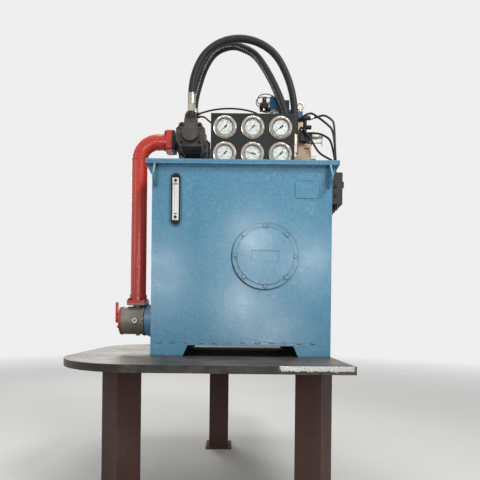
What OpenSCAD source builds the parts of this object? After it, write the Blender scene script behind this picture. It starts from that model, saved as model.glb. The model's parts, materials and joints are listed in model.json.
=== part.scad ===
// Hydraulic power unit of a die casting machine: an oil tank with its pump set, gauge panel and
// valves, standing on a steel plate table. Units are millimetres. +Z is up and the tank's front
// faces -Y. The origin is on the ground, in the middle of the whole unit's outline.

/* [Table] */
// Length of the table plate, from its rounded left end to its right end
plate_len = 1469; // [1400:1:1700]
// Depth of the table plate
plate_dep = 1530; // [1440:10:1620]
// Radius of the two rounded corners at the table plate's left end
plate_r = 450; // [300:10:600]
// Thickness of the table plate
plate_t = 38; // [20:1:50]
// Height of the table plate's top above the ground
table_h = 750; // [600:10:1000]
// How far the plate's right end stands out past the tank
plate_edge = 15; // [2:1:40]
// Side of each square table leg
leg_w = 140; // [100:5:160]
// Wall of a leg's square tube
leg_wall = 8; // [5:1:14]
// Side of the square foot plate under each leg
foot_w = 190; // [175:5:210]
// Thickness of a foot plate
foot_t = 12; // [8:1:25]
// Distance of the front legs from the plate's front edge
leg_front_in = 230; // [215:5:300]
// Distance of the left leg from the plate's left end
leg_left_in = 350; // [340:1:420]
// Distance of the right leg from the plate's right end
leg_right_in = 147; // [145:1:260]
// Distance of the rear leg from the plate's rear edge
leg_rear_in = 250; // [180:5:320]
// Sideways place of the rear leg from the plate's middle
leg_rear_x = 87; // [0:1:250]
// Turn of the left leg about its own axis
leg_turn_left = 45; // [0:1:90]
// Turn of the right leg about its own axis
leg_turn_right = 56; // [0:1:90]

/* [Tank] */
// Width of the tank's body
tank_w = 1000; // [960:5:1080]
// Depth of the tank's body
tank_d = 800; // [760:5:880]
// Height of the tank, from the table to the top of its cover
tank_h = 1085; // [1060:5:1200]
// Thickness of the tank's walls
wall_t = 6; // [4:1:10]
// Thickness of the tank's floor
floor_t = 8; // [5:1:14]
// Distance of the tank's front wall from the table's front edge
setback = 430; // [360:5:460]
// Height of the base skirt under the tank's floor
base_h = 78; // [72:1:100]
// Thickness of the base skirt
skirt_t = 10; // [6:1:16]
// Height of the fork passage cut in the skirt
fork_h = 62; // [50:1:66]
// Width of the fork passage at its top
fork_w = 588; // [400:5:660]
// Extra width of the fork passage at the table, on each side
fork_splay = 27; // [10:1:50]
// Thickness of the cover plate
cover_t = 13; // [10:1:20]
// Thickness of the flange frame under the cover
flange_t = 12; // [8:1:16]
// How far the cover and its flange stand out past the walls
overhang = 33; // [28:1:45]
// How far the flange frame reaches inside the walls
flange_in = 50; // [30:5:80]
// Thickness of a lifting lug
lug_t = 10; // [8:1:14]
// Distance of each lifting lug from the tank's side
lug_in = 15; // [12:1:40]
// Protrusion of a lifting lug where it meets the flange
lug_top = 38; // [34:1:44]
// Protrusion of a lifting lug's eye from the wall
lug_eye = 66; // [60:1:80]
// Distance of a lifting lug's eye below the flange
lug_drop = 80; // [70:1:100]
// Radius of the lug's rounded nose
lug_nose_r = 24; // [20:1:28]
// Radius of the lug's eye
lug_hole_r = 12.5; // [8:0.5:14]
// Height of a lifting lug along the wall
lug_h = 120; // [112:1:150]
// Height of the small gussets under the flange's ends
gusset_h = 60; // [40:2:90]

/* [Tank fittings] */
// Radius of the round access cover
access_r = 183; // [176:1:200]
// Thickness of the access cover's rim
access_t = 9; // [7:1:14]
// Radius of the access cover's raised middle
access_mid_r = 158; // [150:1:160]
// Height of the raised middle over the rim
access_rise = 5; // [3:1:8]
// Radius of the access cover's bolt circle
access_bolt_r = 166; // [163:1:169]
// Number of bolts in the access cover
access_bolts = 8; // [6:1:16]
// Sideways place of the access cover from the tank's middle
access_x = 131; // [100:1:170]
// Height of the access cover's middle above the table
access_z = 560; // [500:1:620]
// Sideways place of the level gauge from the tank's middle
level_x = -368; // [-400:1:-330]
// Height of the level gauge's middle above the table
level_z = 870; // [800:1:880]
// Width of the level gauge's frame opening
level_w = 53; // [44:1:60]
// Height of the level gauge's frame opening
level_h = 288; // [270:1:300]
// Height of the level gauge itself
level_tube_h = 232; // [200:1:250]
// Sideways place of the blank plate pad from the tank's middle
pad_x = 361; // [330:1:380]
// Height of the blank plate pad's middle above the table
pad_z = 931; // [880:1:940]
// Width of the blank plate pad
pad_w = 132; // [100:1:150]
// Height of the blank plate pad
pad_h = 96; // [80:1:110]
// Radius of the filler breather on the cover
breather_r = 42; // [34:1:60]

/* [Suction line] */
// Height of the suction filter's axis above the table
filter_z = 195; // [185:1:260]
// Distance of the filter's axis behind the tank's front wall
filter_back = 250; // [220:5:300]
// Radius of the filter's cast body
filter_r = 85; // [72:1:90]
// Length of the filter's cast body
filter_len = 137; // [130:1:170]
// Radius of the round pad welded to the tank's wall
neck_pad_r = 119; // [112:1:125]
// Thickness of the welded pad
neck_pad_t = 14; // [10:1:20]
// Radius of the welded neck at the filter, where it is smallest
neck_r = 88; // [72:1:90]
// Length from the tank's wall to the filter's flange
neck_len = 76; // [60:1:100]
// Radius of the filter's mounting flange
filter_flange_r = 93; // [91:1:104]
// Thickness of the filter's mounting flange
filter_flange_t = 12; // [8:1:22]
// Thickness of the end cap's rim
cap_rim = 12; // [10:1:20]
// Height of the end cap's dome
cap_dome = 10; // [8:1:24]
// Length of the raised handle bar on the end cap
handle_len = 128; // [100:1:150]
// Outside radius of the suction pipe
pipe_r = 47; // [40:0.5:50]
// Wall of the suction pipe
pipe_wall = 4; // [3:0.5:6]
// Radius of the suction pipe's elbow, at the pipe's middle
pipe_bend = 114; // [100:1:130]
// Side of the suction pipe's square flanges
pipe_flange_w = 118; // [112:1:140]
// Thickness of the suction pipe's square flanges
pipe_flange_t = 20; // [16:1:30]
// Thickness of the suction pipe's upper flange, at the pump
upper_flange_t = 34; // [20:1:40]
// Height of the filter's outlet flange above the filter's axis
filter_outlet_h = 103; // [98:1:120]
// Distance of the suction pipe's axis from the filter's mounting face
pipe_in = 48; // [38:1:54]

/* [Pump set] */
// Sideways place of the pump's axis from the tank's middle
pump_x = -303; // [-310:1:-270]
// Height of the pump's axis above the cover
pump_z = 205; // [195:1:225]
// Distance of the pump's front cap behind the tank's front wall
pump_back = 96; // [80:1:110]
// Width of the pump's body
pump_w = 178; // [160:1:184]
// Height of the pump's body
pump_h = 148; // [140:1:170]
// Length of the pump's body, without its end cover
pump_len = 190; // [180:1:220]
// Thickness of the pump's end cover
end_t = 90; // [80:1:110]
// Radius of the round cap on the end cover
cap_r = 48; // [40:1:54]
// Height of the round cap over the end cover
cap_h = 34; // [20:1:44]
// Distance of the four end cover bolts from the axis, each way
end_bolt = 51; // [46:1:54]
// Height of the outlet pads over the pump's axis
outlet_pad = 97; // [90:1:110]
// Side of the square outlet flanges
outlet_w = 78; // [72:1:84]
// Height of the outlet flanges
outlet_h = 53; // [40:1:70]
// Distance between the two outlets, along the pump
outlet_gap = 190; // [180:1:200]
// Thickness of the pump bracket's upright
bracket_t = 26; // [16:1:34]
// Width of the pump bracket
bracket_w = 204; // [196:2:230]
// Thickness of the pump bracket's foot
bracket_foot_t = 20; // [14:1:30]
// Side of the motor's square housing
motor_w = 200; // [180:2:206]
// Length of the motor's housing
motor_len = 240; // [220:5:270]

/* [Hoses] */
// Outside radius of the two arched pressure hoses
hose_r = 18.5; // [16:0.5:22]
// Radius of the crimped ferrules on the pressure hoses
ferrule_r = 21.5; // [20:0.5:27]
// Length of the crimped ferrules
ferrule_len = 63; // [60:1:90]
// Width across the flats of the hose nuts
nut_af = 41; // [38:1:54]
// Length of the hose nuts
nut_len = 47; // [22:1:50]
// Outside radius of the thin gauge lines
line_r = 5; // [3.5:0.5:6]
// Outside radius of the valve cables
cable_r = 4.5; // [3:0.5:5]

/* [Gauge panel] */
// Width of the gauge panel
panel_w = 485; // [470:1:520]
// Height of the gauge panel
panel_h = 317; // [306:1:360]
// Thickness of the panel's sheet
panel_t = 4; // [2:0.5:6]
// Depth of the panel's side stays
stay_d = 60; // [50:1:70]
// Sideways place of the panel's middle from the tank's middle
panel_x = 60; // [50:0.5:80]
// Distance of the panel's face behind the tank's front wall
panel_back = 100; // [90:1:110]
// Distance between the gauges, sideways
gauge_dx = 161; // [146:1:166]
// Distance between the gauges, upwards
gauge_dz = 152; // [146:1:162]
// Height of the lower gauges' middles above the cover
gauge_z = 83; // [78:1:95]
// Radius of a gauge's front flange
gauge_flange_r = 67; // [60:1:70]
// Radius of a gauge's case behind the panel
gauge_case_r = 50; // [44:1:54]
// Depth of a gauge's case behind the panel
gauge_case_d = 42; // [30:1:50]
// Radius of a gauge's dial
dial_r = 50; // [44:1:52]

/* [Valves] */
// Width of the steel valve tower
tower_w = 230; // [210:5:250]
// Depth of the steel valve tower
tower_d = 150; // [130:5:180]
// Height of the steel valve tower above the cover
tower_h = 388; // [380:1:430]
// Height of the tower's right shoulder above the cover
shoulder_h = 338; // [320:1:360]
// Width of the tower's right shoulder
shoulder_w = 40; // [30:1:50]
// Sideways place of the tower's right face from the tank's middle
tower_right = 376; // [370:1:390]
// Distance of the tower's front face behind the tank's front wall
tower_back = 240; // [235:1:260]
// Width of the side block on the tower
side_w = 50; // [40:1:60]
// Height of the side block above the cover
side_h = 204; // [180:1:208]
// Height of the port block in front of the tower
port_h = 96; // [80:1:140]
// Radius of the main outlet port's bore
port_bore_r = 13; // [10:0.5:15]
// Height of the main outlet port's axis above the cover
main_port_z = 271; // [260:1:280]
// Outer radius of the lifting eye's ring
eye_r = 27; // [22:0.5:32]

/* [Terminal box] */
// How far the terminal box stands out from the tank's right wall
box_w = 62; // [60:1:90]
// Depth of the terminal box along the wall
box_d = 160; // [130:5:200]
// Height of the terminal box
box_h = 182; // [160:2:200]
// Height of the terminal box's middle above the table
box_z = 958; // [920:1:960]
// Distance of the terminal box behind the tank's front wall
box_back = 50; // [45:1:90]
// Thickness of the terminal box's lid
lid_t = 8; // [5:1:12]
// Height of the latch on the lid
latch_t = 12; // [8:1:18]

/* [Hidden] */

$fn = 64;

// Fits: a gap between curved faces, and one between a part and the hole that it passes
seat_gap = 0.3;
hole_gap = 1.5;

// Places that follow from the sizes above
reach = box_w + lid_t + latch_t;
right_x = (plate_len - plate_edge - reach) / 2;
tank_x = right_x - tank_w / 2;
left_x = right_x - tank_w;
plate_right = right_x + plate_edge;
plate_x = plate_right - plate_len / 2;
front_y = setback - plate_dep / 2;
back_y = front_y + tank_d;
top_z = table_h + tank_h;
flange_z = top_z - cover_t - flange_t;
floor_z = table_h + base_h;
wall_z = floor_z + floor_t;

blue = [0.34, 0.57, 0.68];
red = [0.66, 0.16, 0.12];
black = [0.10, 0.10, 0.11];
primer = [0.35, 0.22, 0.19];
cast_grey = [0.46, 0.44, 0.42];
zinc = [0.80, 0.78, 0.70];
raw_steel = [0.62, 0.55, 0.46];
white = [0.92, 0.92, 0.90];

// A flat profile, drawn as x and z, made into a plate that runs back from y
module front_plate(y, t) {
    translate([0, y + t, 0]) rotate([90, 0, 0]) linear_extrude(t) children();
}

// A flat profile, drawn as y and z, made into a plate that runs right from x
module side_plate(x, t) {
    translate([x, 0, 0]) rotate([90, 0, 90]) linear_extrude(t) children();
}

// A box from its low corner to its high corner
module block(low, high) {
    translate(low) cube(high - low);
}

module rod_x(place, r, len) {
    translate(place) rotate([0, 90, 0]) cylinder(r = r, h = len);
}

module rod_y(place, r, len) {
    translate(place) rotate([-90, 0, 0]) cylinder(r = r, h = len);
}

module rod_z(place, r, len) {
    translate(place) cylinder(r = r, h = len);
}

// Six-sided bar with af across its flats
module hex(af, len) {
    cylinder(r = af / sqrt(3), h = len, $fn = 6);
}

module rounded(w, h, r) {
    square([w - 2 * r, h], center = true);
    square([w, h - 2 * r], center = true);
    for (sx = [-1, 1], sy = [-1, 1])
        translate([sx * (w / 2 - r), sy * (h / 2 - r)]) circle(r);
}

// Upright slot with round ends
module oblong(w, h) {
    square([w, h - w], center = true);
    for (s = [-1, 1]) translate([0, s * (h - w) / 2]) circle(w / 2);
}

module chamfered(w, h, c) {
    polygon([for (s = [[1, 1], [-1, 1], [-1, -1], [1, -1]], k = [0, 1])
        let (first = (s[0] * s[1] > 0) ? k == 0 : k == 1)
        first ? [s[0] * w / 2, s[1] * (h / 2 - c)] : [s[0] * (w / 2 - c), s[1] * h / 2]]);
}

function unit(v) = v / norm(v);
function total(v, n, i = 0) = i >= n ? 0 : v[i] + total(v, n, i + 1);

// Table

module table_top() {
    left = plate_right - plate_len;
    color([0.20, 0.19, 0.18])
    translate([0, 0, table_h - plate_t]) linear_extrude(plate_t) {
        for (s = [-1, 1]) translate([left + plate_r, s * (plate_dep / 2 - plate_r)])
            circle(plate_r, $fn = 180);
        translate([left, plate_r - plate_dep / 2]) square([plate_r, plate_dep - 2 * plate_r]);
        translate([left + plate_r, -plate_dep / 2]) square([plate_len - plate_r, plate_dep]);
    }
}

module leg(x, y, turn) {
    color(primer)
    translate([x, y, 0]) rotate(turn) {
        linear_extrude(foot_t) square(foot_w, center = true);
        translate([0, 0, foot_t]) linear_extrude(table_h - plate_t - foot_t) difference() {
            square(leg_w, center = true);
            square(leg_w - 2 * leg_wall, center = true);
        }
    }
}

module table_leg_front_left() {
    leg(plate_right - plate_len + leg_left_in, -plate_dep / 2 + leg_front_in, leg_turn_left);
}

module table_leg_front_right() {
    leg(plate_right - leg_right_in, -plate_dep / 2 + leg_front_in, leg_turn_right);
}

module table_leg_rear() {
    leg(plate_x + leg_rear_x, plate_dep / 2 - leg_rear_in, 0);
}

// Tank base and shell

module skirt_profile() {
    difference() {
        translate([left_x, table_h]) square([tank_w, base_h]);
        polygon([[tank_x - fork_w / 2 - fork_splay, table_h - 1],
            [tank_x + fork_w / 2 + fork_splay, table_h - 1],
            [tank_x + fork_w / 2 + fork_splay, table_h],
            [tank_x + fork_w / 2, table_h + fork_h],
            [tank_x - fork_w / 2, table_h + fork_h],
            [tank_x - fork_w / 2 - fork_splay, table_h]]);
    }
}

module base_skirt_front() {
    color(blue) front_plate(front_y, skirt_t) skirt_profile();
}

module base_skirt_back() {
    color(blue) front_plate(back_y - skirt_t, skirt_t) skirt_profile();
}

module base_skirt_sides() {
    color(blue) for (x = [left_x, right_x - skirt_t])
        block([x, front_y + skirt_t, table_h], [x + skirt_t, back_y - skirt_t, floor_z]);
}

module tank_floor() {
    color(blue) block([left_x, front_y, floor_z], [right_x, back_y, wall_z]);
}

module tank_front_wall() {
    color(blue) block([left_x, front_y, wall_z], [right_x, front_y + wall_t, flange_z]);
}

module tank_back_wall() {
    color(blue) block([left_x, back_y - wall_t, wall_z], [right_x, back_y, flange_z]);
}

module tank_side_wall(x) {
    color(blue) block([x, front_y + wall_t, wall_z], [x + wall_t, back_y - wall_t, flange_z]);
}

module tank_left_wall() {
    tank_side_wall(left_x);
}

module tank_right_wall() {
    tank_side_wall(right_x - wall_t);
}

module tank_flange() {
    color(blue) difference() {
        block([left_x - overhang, front_y - overhang, flange_z],
            [right_x + overhang, back_y + overhang, flange_z + flange_t]);
        block([left_x + flange_in, front_y + flange_in, flange_z - 1],
            [right_x - flange_in, back_y - flange_in, flange_z + flange_t + 1]);
    }
}

module tank_cover() {
    color(blue) block([left_x - overhang, front_y - overhang, top_z - cover_t],
        [right_x + overhang, back_y + overhang, top_z]);
}

// Place where a line from p touches the circle at c, on the side that s picks
function touch(p, c, r, s) =
    let (v = p - c, a = atan2(v[1], v[0]) + s * acos(r / norm(v)))
    c + r * [cos(a), sin(a)];

// Lug outline: how far it stands out from the wall, and its height below the flange
module lug_profile() {
    eye = [lug_eye, -lug_drop];
    top = [lug_top, 0];
    foot = [0, -lug_h];
    difference() {
        union() {
            polygon([[0, 0], foot, touch(foot, eye, lug_nose_r, 1),
                eye, touch(top, eye, lug_nose_r, -1), top]);
            translate(eye) circle(lug_nose_r);
        }
        translate(eye) circle(lug_hole_r);
    }
}

module lifting_lugs() {
    color(blue) for (x = [left_x + lug_in, right_x - lug_in - lug_t]) {
        side_plate(x, lug_t) translate([front_y, flange_z]) mirror([1, 0]) lug_profile();
        side_plate(x, lug_t) translate([back_y, flange_z]) lug_profile();
    }
}

module flange_gussets() {
    gusset = [[0, 0], [overhang, 0], [0, -gusset_h]];
    color(blue) for (y = [front_y, back_y - lug_t]) {
        front_plate(y, lug_t) translate([left_x, flange_z]) mirror([1, 0]) polygon(gusset);
        front_plate(y, lug_t) translate([right_x, flange_z]) polygon(gusset);
    }
}

// Fittings on the tank

module access_cover() {
    bolt_hole_r = 6.5;
    notch_r = 13;
    recess = [150, 58];
    recess_d = 2.5;
    z = table_h + access_z;
    module bolt_places() {
        for (i = [0 : access_bolts - 1]) rotate(i * 360 / access_bolts)
            translate([0, access_bolt_r]) children();
    }
    color(blue) translate([tank_x + access_x, front_y, z]) rotate([90, 0, 0]) {
        linear_extrude(access_t) difference() {
            circle(access_r, $fn = 128);
            bolt_places() circle(bolt_hole_r);
        }
        translate([0, 0, access_t]) linear_extrude(access_rise - recess_d) difference() {
            circle(access_mid_r, $fn = 128);
            bolt_places() circle(notch_r);
        }
        translate([0, 0, access_t + access_rise - recess_d]) linear_extrude(recess_d)
            difference() {
                circle(access_mid_r, $fn = 128);
                bolt_places() circle(notch_r);
                square(recess, center = true);
            }
    }
}

// The gauge's frame is a round-ended ring with a slanting outer edge, welded to the wall
module level_frame() {
    ring = 7;
    lip = 5;
    steps = 2;
    color(blue) translate([tank_x + level_x, front_y, table_h + level_z]) rotate([90, 0, 0])
        for (i = [0 : steps - 1]) translate([0, 0, i * lip / steps])
            linear_extrude(lip / steps) difference() {
                oblong(level_w + 2 * ring - 4 * i, level_h + 2 * ring - 4 * i);
                oblong(level_w, level_h);
            }
}

module level_gauge() {
    body_w = 34;
    body_d = 14;
    end_h = 30;
    tube_r = 6.5;
    x = tank_x + level_x;
    z = table_h + level_z;
    color(white) {
        block([x - body_w / 2, front_y - body_d / 2, z - level_tube_h / 2],
            [x + body_w / 2, front_y, z + level_tube_h / 2]);
        for (s = [-1, 1]) translate([0, 0, s * (level_tube_h - end_h) / 2])
            block([x - body_w / 2, front_y - body_d, z - end_h / 2],
                [x + body_w / 2, front_y, z + end_h / 2]);
        rod_z([x, front_y - body_d / 2, z - level_tube_h / 2], tube_r, level_tube_h);
    }
}

module plate_pad() {
    corner = 15;
    pad_t = 3;
    color(blue) front_plate(front_y - pad_t, pad_t)
        translate([tank_x + pad_x, table_h + pad_z]) rounded(pad_w, pad_h, corner);
}

module filler_breather() {
    neck = 14;
    cap = 62;
    lip = 10;
    lip_t = 6;
    x = left_x + 130;
    y = back_y - 75;
    color(zinc) {
        rod_z([x, y, top_z], breather_r - lip_t, neck);
        rod_z([x, y, top_z + neck], breather_r, cap);
        rod_z([x, y, top_z + neck + cap], breather_r - lip, lip_t);
    }
}

// Suction line

filter_y = front_y + filter_back;
filter_axis_z = table_h + filter_z;
filter_in_x = left_x - neck_len;
filter_out_x = filter_in_x - filter_len;
pump_cx = tank_x + pump_x;
pump_cz = top_z + pump_z;
pump_y0 = front_y + pump_back + cap_h;
body_y0 = pump_y0 + end_t;
body_y1 = body_y0 + pump_len;
pipe_x = filter_in_x - pipe_in;
outlet_top = filter_axis_z + filter_outlet_h;
adaptor_len = 30;
upper_flange_x = pump_cx - pump_w / 2 - adaptor_len - upper_flange_t;

module filter_neck() {
    color(blue) {
        rod_x([left_x - neck_pad_t, filter_y, filter_axis_z], neck_pad_r, neck_pad_t);
        translate([left_x - neck_pad_t, filter_y, filter_axis_z]) rotate([0, -90, 0])
            cylinder(r1 = neck_pad_r - 5, r2 = neck_r, h = neck_len - neck_pad_t);
    }
}

module filter_body() {
    neck_out = 30;
    outlet_t = 10;
    boss_r = 19;
    boss_out = 8;
    drain_r = 12;
    color(cast_grey) {
        rod_x([filter_in_x - filter_flange_t, filter_y, filter_axis_z],
            filter_flange_r, filter_flange_t);
        rod_x([filter_out_x, filter_y, filter_axis_z], filter_r, filter_len - filter_flange_t);
        rod_z([pipe_x, filter_y, filter_axis_z], neck_out, filter_outlet_h);
        translate([pipe_x, filter_y, outlet_top - outlet_t])
            linear_extrude(outlet_t) rounded(pipe_flange_w, pipe_flange_w, 14);
        // Plug bosses on the front and underneath
        rod_y([pipe_x, filter_y - filter_r - boss_out, filter_axis_z], boss_r, filter_r);
        rod_z([pipe_x, filter_y, filter_axis_z - filter_r - boss_out], drain_r, filter_r);
    }
}

module filter_cap() {
    dome_r = (filter_r * filter_r + cap_dome * cap_dome) / (2 * cap_dome);
    rim_x = filter_out_x - cap_rim;
    color(red) {
        rod_x([rim_x, filter_y, filter_axis_z], filter_r + 3, cap_rim);
        intersection() {
            translate([rim_x + dome_r - cap_dome, filter_y, filter_axis_z])
                sphere(dome_r, $fn = 160);
            rod_x([rim_x - cap_dome, filter_y, filter_axis_z], filter_r, cap_dome);
        }
    }
}

module filter_handle() {
    bar_w = 30;
    bar_t = 12;
    stand = 12;
    x = filter_out_x - cap_rim - cap_dome - seat_gap - stand;
    color(red) {
        side_plate(x - bar_t, bar_t)
            translate([filter_y, filter_axis_z + (handle_len - bar_w) / 2])
            oblong(bar_w, handle_len);
        rod_x([x, filter_y, filter_axis_z], bar_w / 2, stand);
    }
}

module pipe_section() {
    difference() {
        circle(pipe_r);
        circle(pipe_r - pipe_wall);
    }
}

module suction_pipe() {
    z0 = outlet_top + pipe_flange_t;
    bend_z = pump_cz - pipe_bend;
    color(red) {
        translate([pipe_x, filter_y, z0]) linear_extrude(bend_z - z0) pipe_section();
        translate([pipe_x + pipe_bend, filter_y, bend_z]) rotate([90, 0, 0])
            rotate(90) rotate_extrude(angle = 90, $fn = 128) translate([pipe_bend, 0])
            pipe_section();
        translate([pipe_x + pipe_bend, filter_y, pump_cz]) rotate([0, 90, 0])
            linear_extrude(upper_flange_x - pipe_x - pipe_bend) pipe_section();
    }
}

module pipe_flanges() {
    collar_t = 33;
    upper_collar_t = 18;
    collar_r = pipe_r + 5;
    color(red) {
        difference() {
            union() {
                translate([pipe_x, filter_y, outlet_top]) linear_extrude(pipe_flange_t)
                    rounded(pipe_flange_w, pipe_flange_w, 14);
                rod_z([pipe_x, filter_y, outlet_top], collar_r, pipe_flange_t + collar_t);
            }
            rod_z([pipe_x, filter_y, outlet_top - 1], pipe_r - pipe_wall, pipe_flange_t + 2);
            rod_z([pipe_x, filter_y, outlet_top + pipe_flange_t], pipe_r + seat_gap, collar_t + 1);
        }
        difference() {
            union() {
                translate([upper_flange_x, filter_y, pump_cz]) rotate([0, 90, 0])
                    linear_extrude(upper_flange_t) rounded(pipe_flange_w, pipe_flange_w, 14);
                rod_x([upper_flange_x - upper_collar_t, filter_y, pump_cz],
                    collar_r, upper_collar_t + upper_flange_t);
            }
            rod_x([upper_flange_x - 1, filter_y, pump_cz],
                pipe_r - pipe_wall, upper_flange_t + 2);
            rod_x([upper_flange_x - upper_collar_t - 1, filter_y, pump_cz],
                pipe_r + seat_gap, upper_collar_t + 1);
        }
    }
}

// Pump set

module pump_adaptor() {
    x0 = upper_flange_x + upper_flange_t;
    square_t = 18;
    color(black) {
        translate([x0, filter_y, pump_cz]) rotate([0, 90, 0])
            linear_extrude(square_t) rounded(pipe_flange_w, pipe_flange_w, 20);
        rod_x([x0, filter_y, pump_cz], pipe_flange_w / 2 - 5, adaptor_len);
    }
}

outlet_y = [pump_y0 + end_t / 2, pump_y0 + end_t / 2 + outlet_gap];

module outlet_seat(y) {
    block([pump_cx - outlet_w / 2, y - outlet_w / 2, pump_cz],
        [pump_cx + outlet_w / 2, y + outlet_w / 2, pump_cz + outlet_pad]);
}

module pump_body() {
    corner = 38;
    waist = 10;
    waist_y0 = body_y0 + 18;
    waist_y1 = outlet_y[1] - outlet_w / 2 - 4;
    color([0.30, 0.28, 0.27]) {
        front_plate(body_y0, waist_y0 - body_y0)
            translate([pump_cx, pump_cz]) chamfered(pump_w, pump_h, corner);
        front_plate(waist_y0, waist_y1 - waist_y0) translate([pump_cx, pump_cz])
            chamfered(pump_w - waist, pump_h - waist, corner);
        front_plate(waist_y1, body_y1 - waist_y1)
            translate([pump_cx, pump_cz]) chamfered(pump_w, pump_h, corner);
        // Suction port's face and the rear outlet's pad
        block([pump_cx - pump_w / 2, body_y0, pump_cz - pipe_flange_w / 2],
            [pump_cx, filter_y + pipe_flange_w / 2, pump_cz + pipe_flange_w / 2]);
        outlet_seat(outlet_y[1]);
    }
}

module pump_end_cover() {
    boss_r = 19;
    boss_out = 4;
    sink_r = 11;
    sink = 10;
    color([0.34, 0.31, 0.29]) difference() {
        union() {
            front_plate(pump_y0, end_t) translate([pump_cx, pump_cz])
                chamfered(pump_w - 8, pump_h - 6, 36);
            for (sx = [-1, 1], sz = [-1, 1]) rod_y([pump_cx + sx * end_bolt,
                pump_y0 - boss_out, pump_cz + sz * end_bolt], boss_r, end_t + boss_out);
            rod_y([pump_cx, pump_y0 - cap_h, pump_cz], cap_r, cap_h + 1);
            outlet_seat(outlet_y[0]);
        }
        for (sx = [-1, 1], sz = [-1, 1]) rod_y([pump_cx + sx * end_bolt,
            pump_y0 - boss_out - 1, pump_cz + sz * end_bolt], sink_r, boss_out + sink + 1);
    }
}

module pump_bracket() {
    foot_x0 = pump_cx - bracket_w / 2;
    foot_x1 = pump_cx + bracket_w / 2;
    pilot_r = 52;
    rib_t = 16;
    rib_slope = 50;
    clear = 2;
    foot_y0 = body_y0 + 20;
    under = pump_cz - pump_h / 2;
    color(black) {
        difference() {
            block([foot_x0, body_y1, top_z],
                [foot_x1, body_y1 + bracket_t, pump_cz + pump_h / 2]);
            rod_y([pump_cx, body_y1 - 1, pump_cz], pilot_r, bracket_t + 2);
        }
        block([foot_x0, foot_y0, top_z], [foot_x1, body_y1, top_z + bracket_foot_t]);
        for (x = [foot_x0, foot_x1 - rib_t]) side_plate(x, rib_t)
            polygon([[foot_y0, top_z + bracket_foot_t], [body_y1, top_z + bracket_foot_t],
                [body_y1, under - clear], [foot_y0 + rib_slope, under - 6 * clear],
                [foot_y0, under - rib_slope]]);
    }
}

motor_rib = 5;

module drive_motor() {
    y0 = body_y1 + bracket_t;
    rib_t = 4;
    ribs = 9;
    ring_t = 22;
    corner = 18;
    fan_t = 34;
    color([0.16, 0.17, 0.19]) {
        front_plate(y0, motor_len) translate([pump_cx, pump_cz])
            chamfered(motor_w - 2 * motor_rib, motor_w - 2 * motor_rib, corner);
        front_plate(y0, ring_t) translate([pump_cx, pump_cz])
            chamfered(motor_w, motor_w, corner);
        front_plate(y0 + motor_len - fan_t, fan_t)
            translate([pump_cx, pump_cz]) chamfered(motor_w, motor_w, corner);
        // Cooling ribs along both sides
        for (i = [0 : ribs - 1], s = [-1, 1])
            translate([pump_cx + s * (motor_w / 2 - motor_rib), 0,
                pump_cz + (i - (ribs - 1) / 2) * motor_w / (ribs + 3)])
                block([-motor_rib, y0, -rib_t / 2], [motor_rib, y0 + motor_len, rib_t / 2]);
    }
}

module motor_terminal_box() {
    size = [110, 120, 62];
    color(black) translate([pump_cx - size[0] / 2, body_y1 + bracket_t + size[1] / 2,
        pump_cz + motor_w / 2 - motor_rib]) cube(size);
}

outlet_neck_r = 26;

module outlet_flanges() {
    z0 = pump_cz + outlet_pad;
    flange_h = 20;
    color(black) for (y = outlet_y) {
        translate([pump_cx, y, z0]) {
            linear_extrude(flange_h) rounded(outlet_w - 4, outlet_w - 4, 14);
            cylinder(r = outlet_neck_r, h = outlet_h);
        }
    }
}

// Pressure hoses

hose_z0 = pump_cz + outlet_pad + outlet_h + nut_len + ferrule_len;
hose_x0 = pump_cx;
stem_len = 16;
stay_gap = 4;
port_y0 = front_y + panel_back + panel_t + max(stay_d, gauge_case_d + stem_len) + stay_gap;
port_wall = 10;
end_y = port_y0 + port_wall + nut_af / sqrt(3);
front_end = [tank_x + 318, end_y];
rear_end = [tank_x + 268, end_y];
port_top = top_z + port_h;
end_fit = 30;
hose_end_z = port_top + end_fit + nut_len + ferrule_len;

// Arcs of a hose's arch, as [radius, heading in, heading out], from straight up to straight down
front_arcs = [[446, 90, 66], [279, 66, -60]];
rear_arcs = [[496, 90, 49], [146, 49, -25], [330, -25, -56]];
rear_last = [270, -72, -90];

function arc_dx(a) = a[0] * (sin(a[1]) - sin(a[2]));
function arc_dz(a) = a[0] * (cos(a[2]) - cos(a[1]));

// The arc that closes what the others leave of the span, between headings h0 and h1
function closing(arcs, span, h0, h1, rest = 0) =
    [(span - rest - total([for (a = arcs) arc_dx(a)], len(arcs))) / (sin(h0) - sin(h1)), h0, h1];

front_span = norm(front_end - [hose_x0, outlet_y[0]]);
rear_span = norm(rear_end - [hose_x0, outlet_y[1]]);
front_path = concat(front_arcs, [closing(front_arcs, front_span, -60, -90)]);
rear_path = concat(rear_arcs,
    [closing(rear_arcs, rear_span, -56, -72, arc_dx(rear_last)), rear_last]);

// Points along the arcs from the origin, in the hose's own upright plane, with step degrees between
function arch_points(arcs, step) = concat([[0, 0]],
    [for (i = [0 : len(arcs) - 1])
        let (a = arcs[i], n = ceil((a[1] - a[2]) / step),
            x = total([for (b = arcs) arc_dx(b)], i), z = total([for (b = arcs) arc_dz(b)], i))
        for (k = [1 : n]) let (h = a[1] - k * (a[1] - a[2]) / n)
            [x + arc_dx([a[0], a[1], h]), z + arc_dz([a[0], a[1], h])]]);

module arch(arcs, start, finish) {
    flat = arch_points(arcs, 6);
    last = flat[len(flat) - 1];
    turn = atan2(finish[1] - start[1], finish[0] - start[0]);
    path = [for (p = concat(flat, [[last[0], finish[2] - start[2]]]))
        start + [p[0] * cos(turn), p[0] * sin(turn), p[1]]];
    swept(path, hose_r, 16, [0, 0, 1], [0, 0, -1]);
}

module arch_hose_front() {
    color([0.15, 0.15, 0.15]) arch(front_path, [hose_x0, outlet_y[0], hose_z0],
        [front_end[0], front_end[1], hose_end_z]);
}

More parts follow.
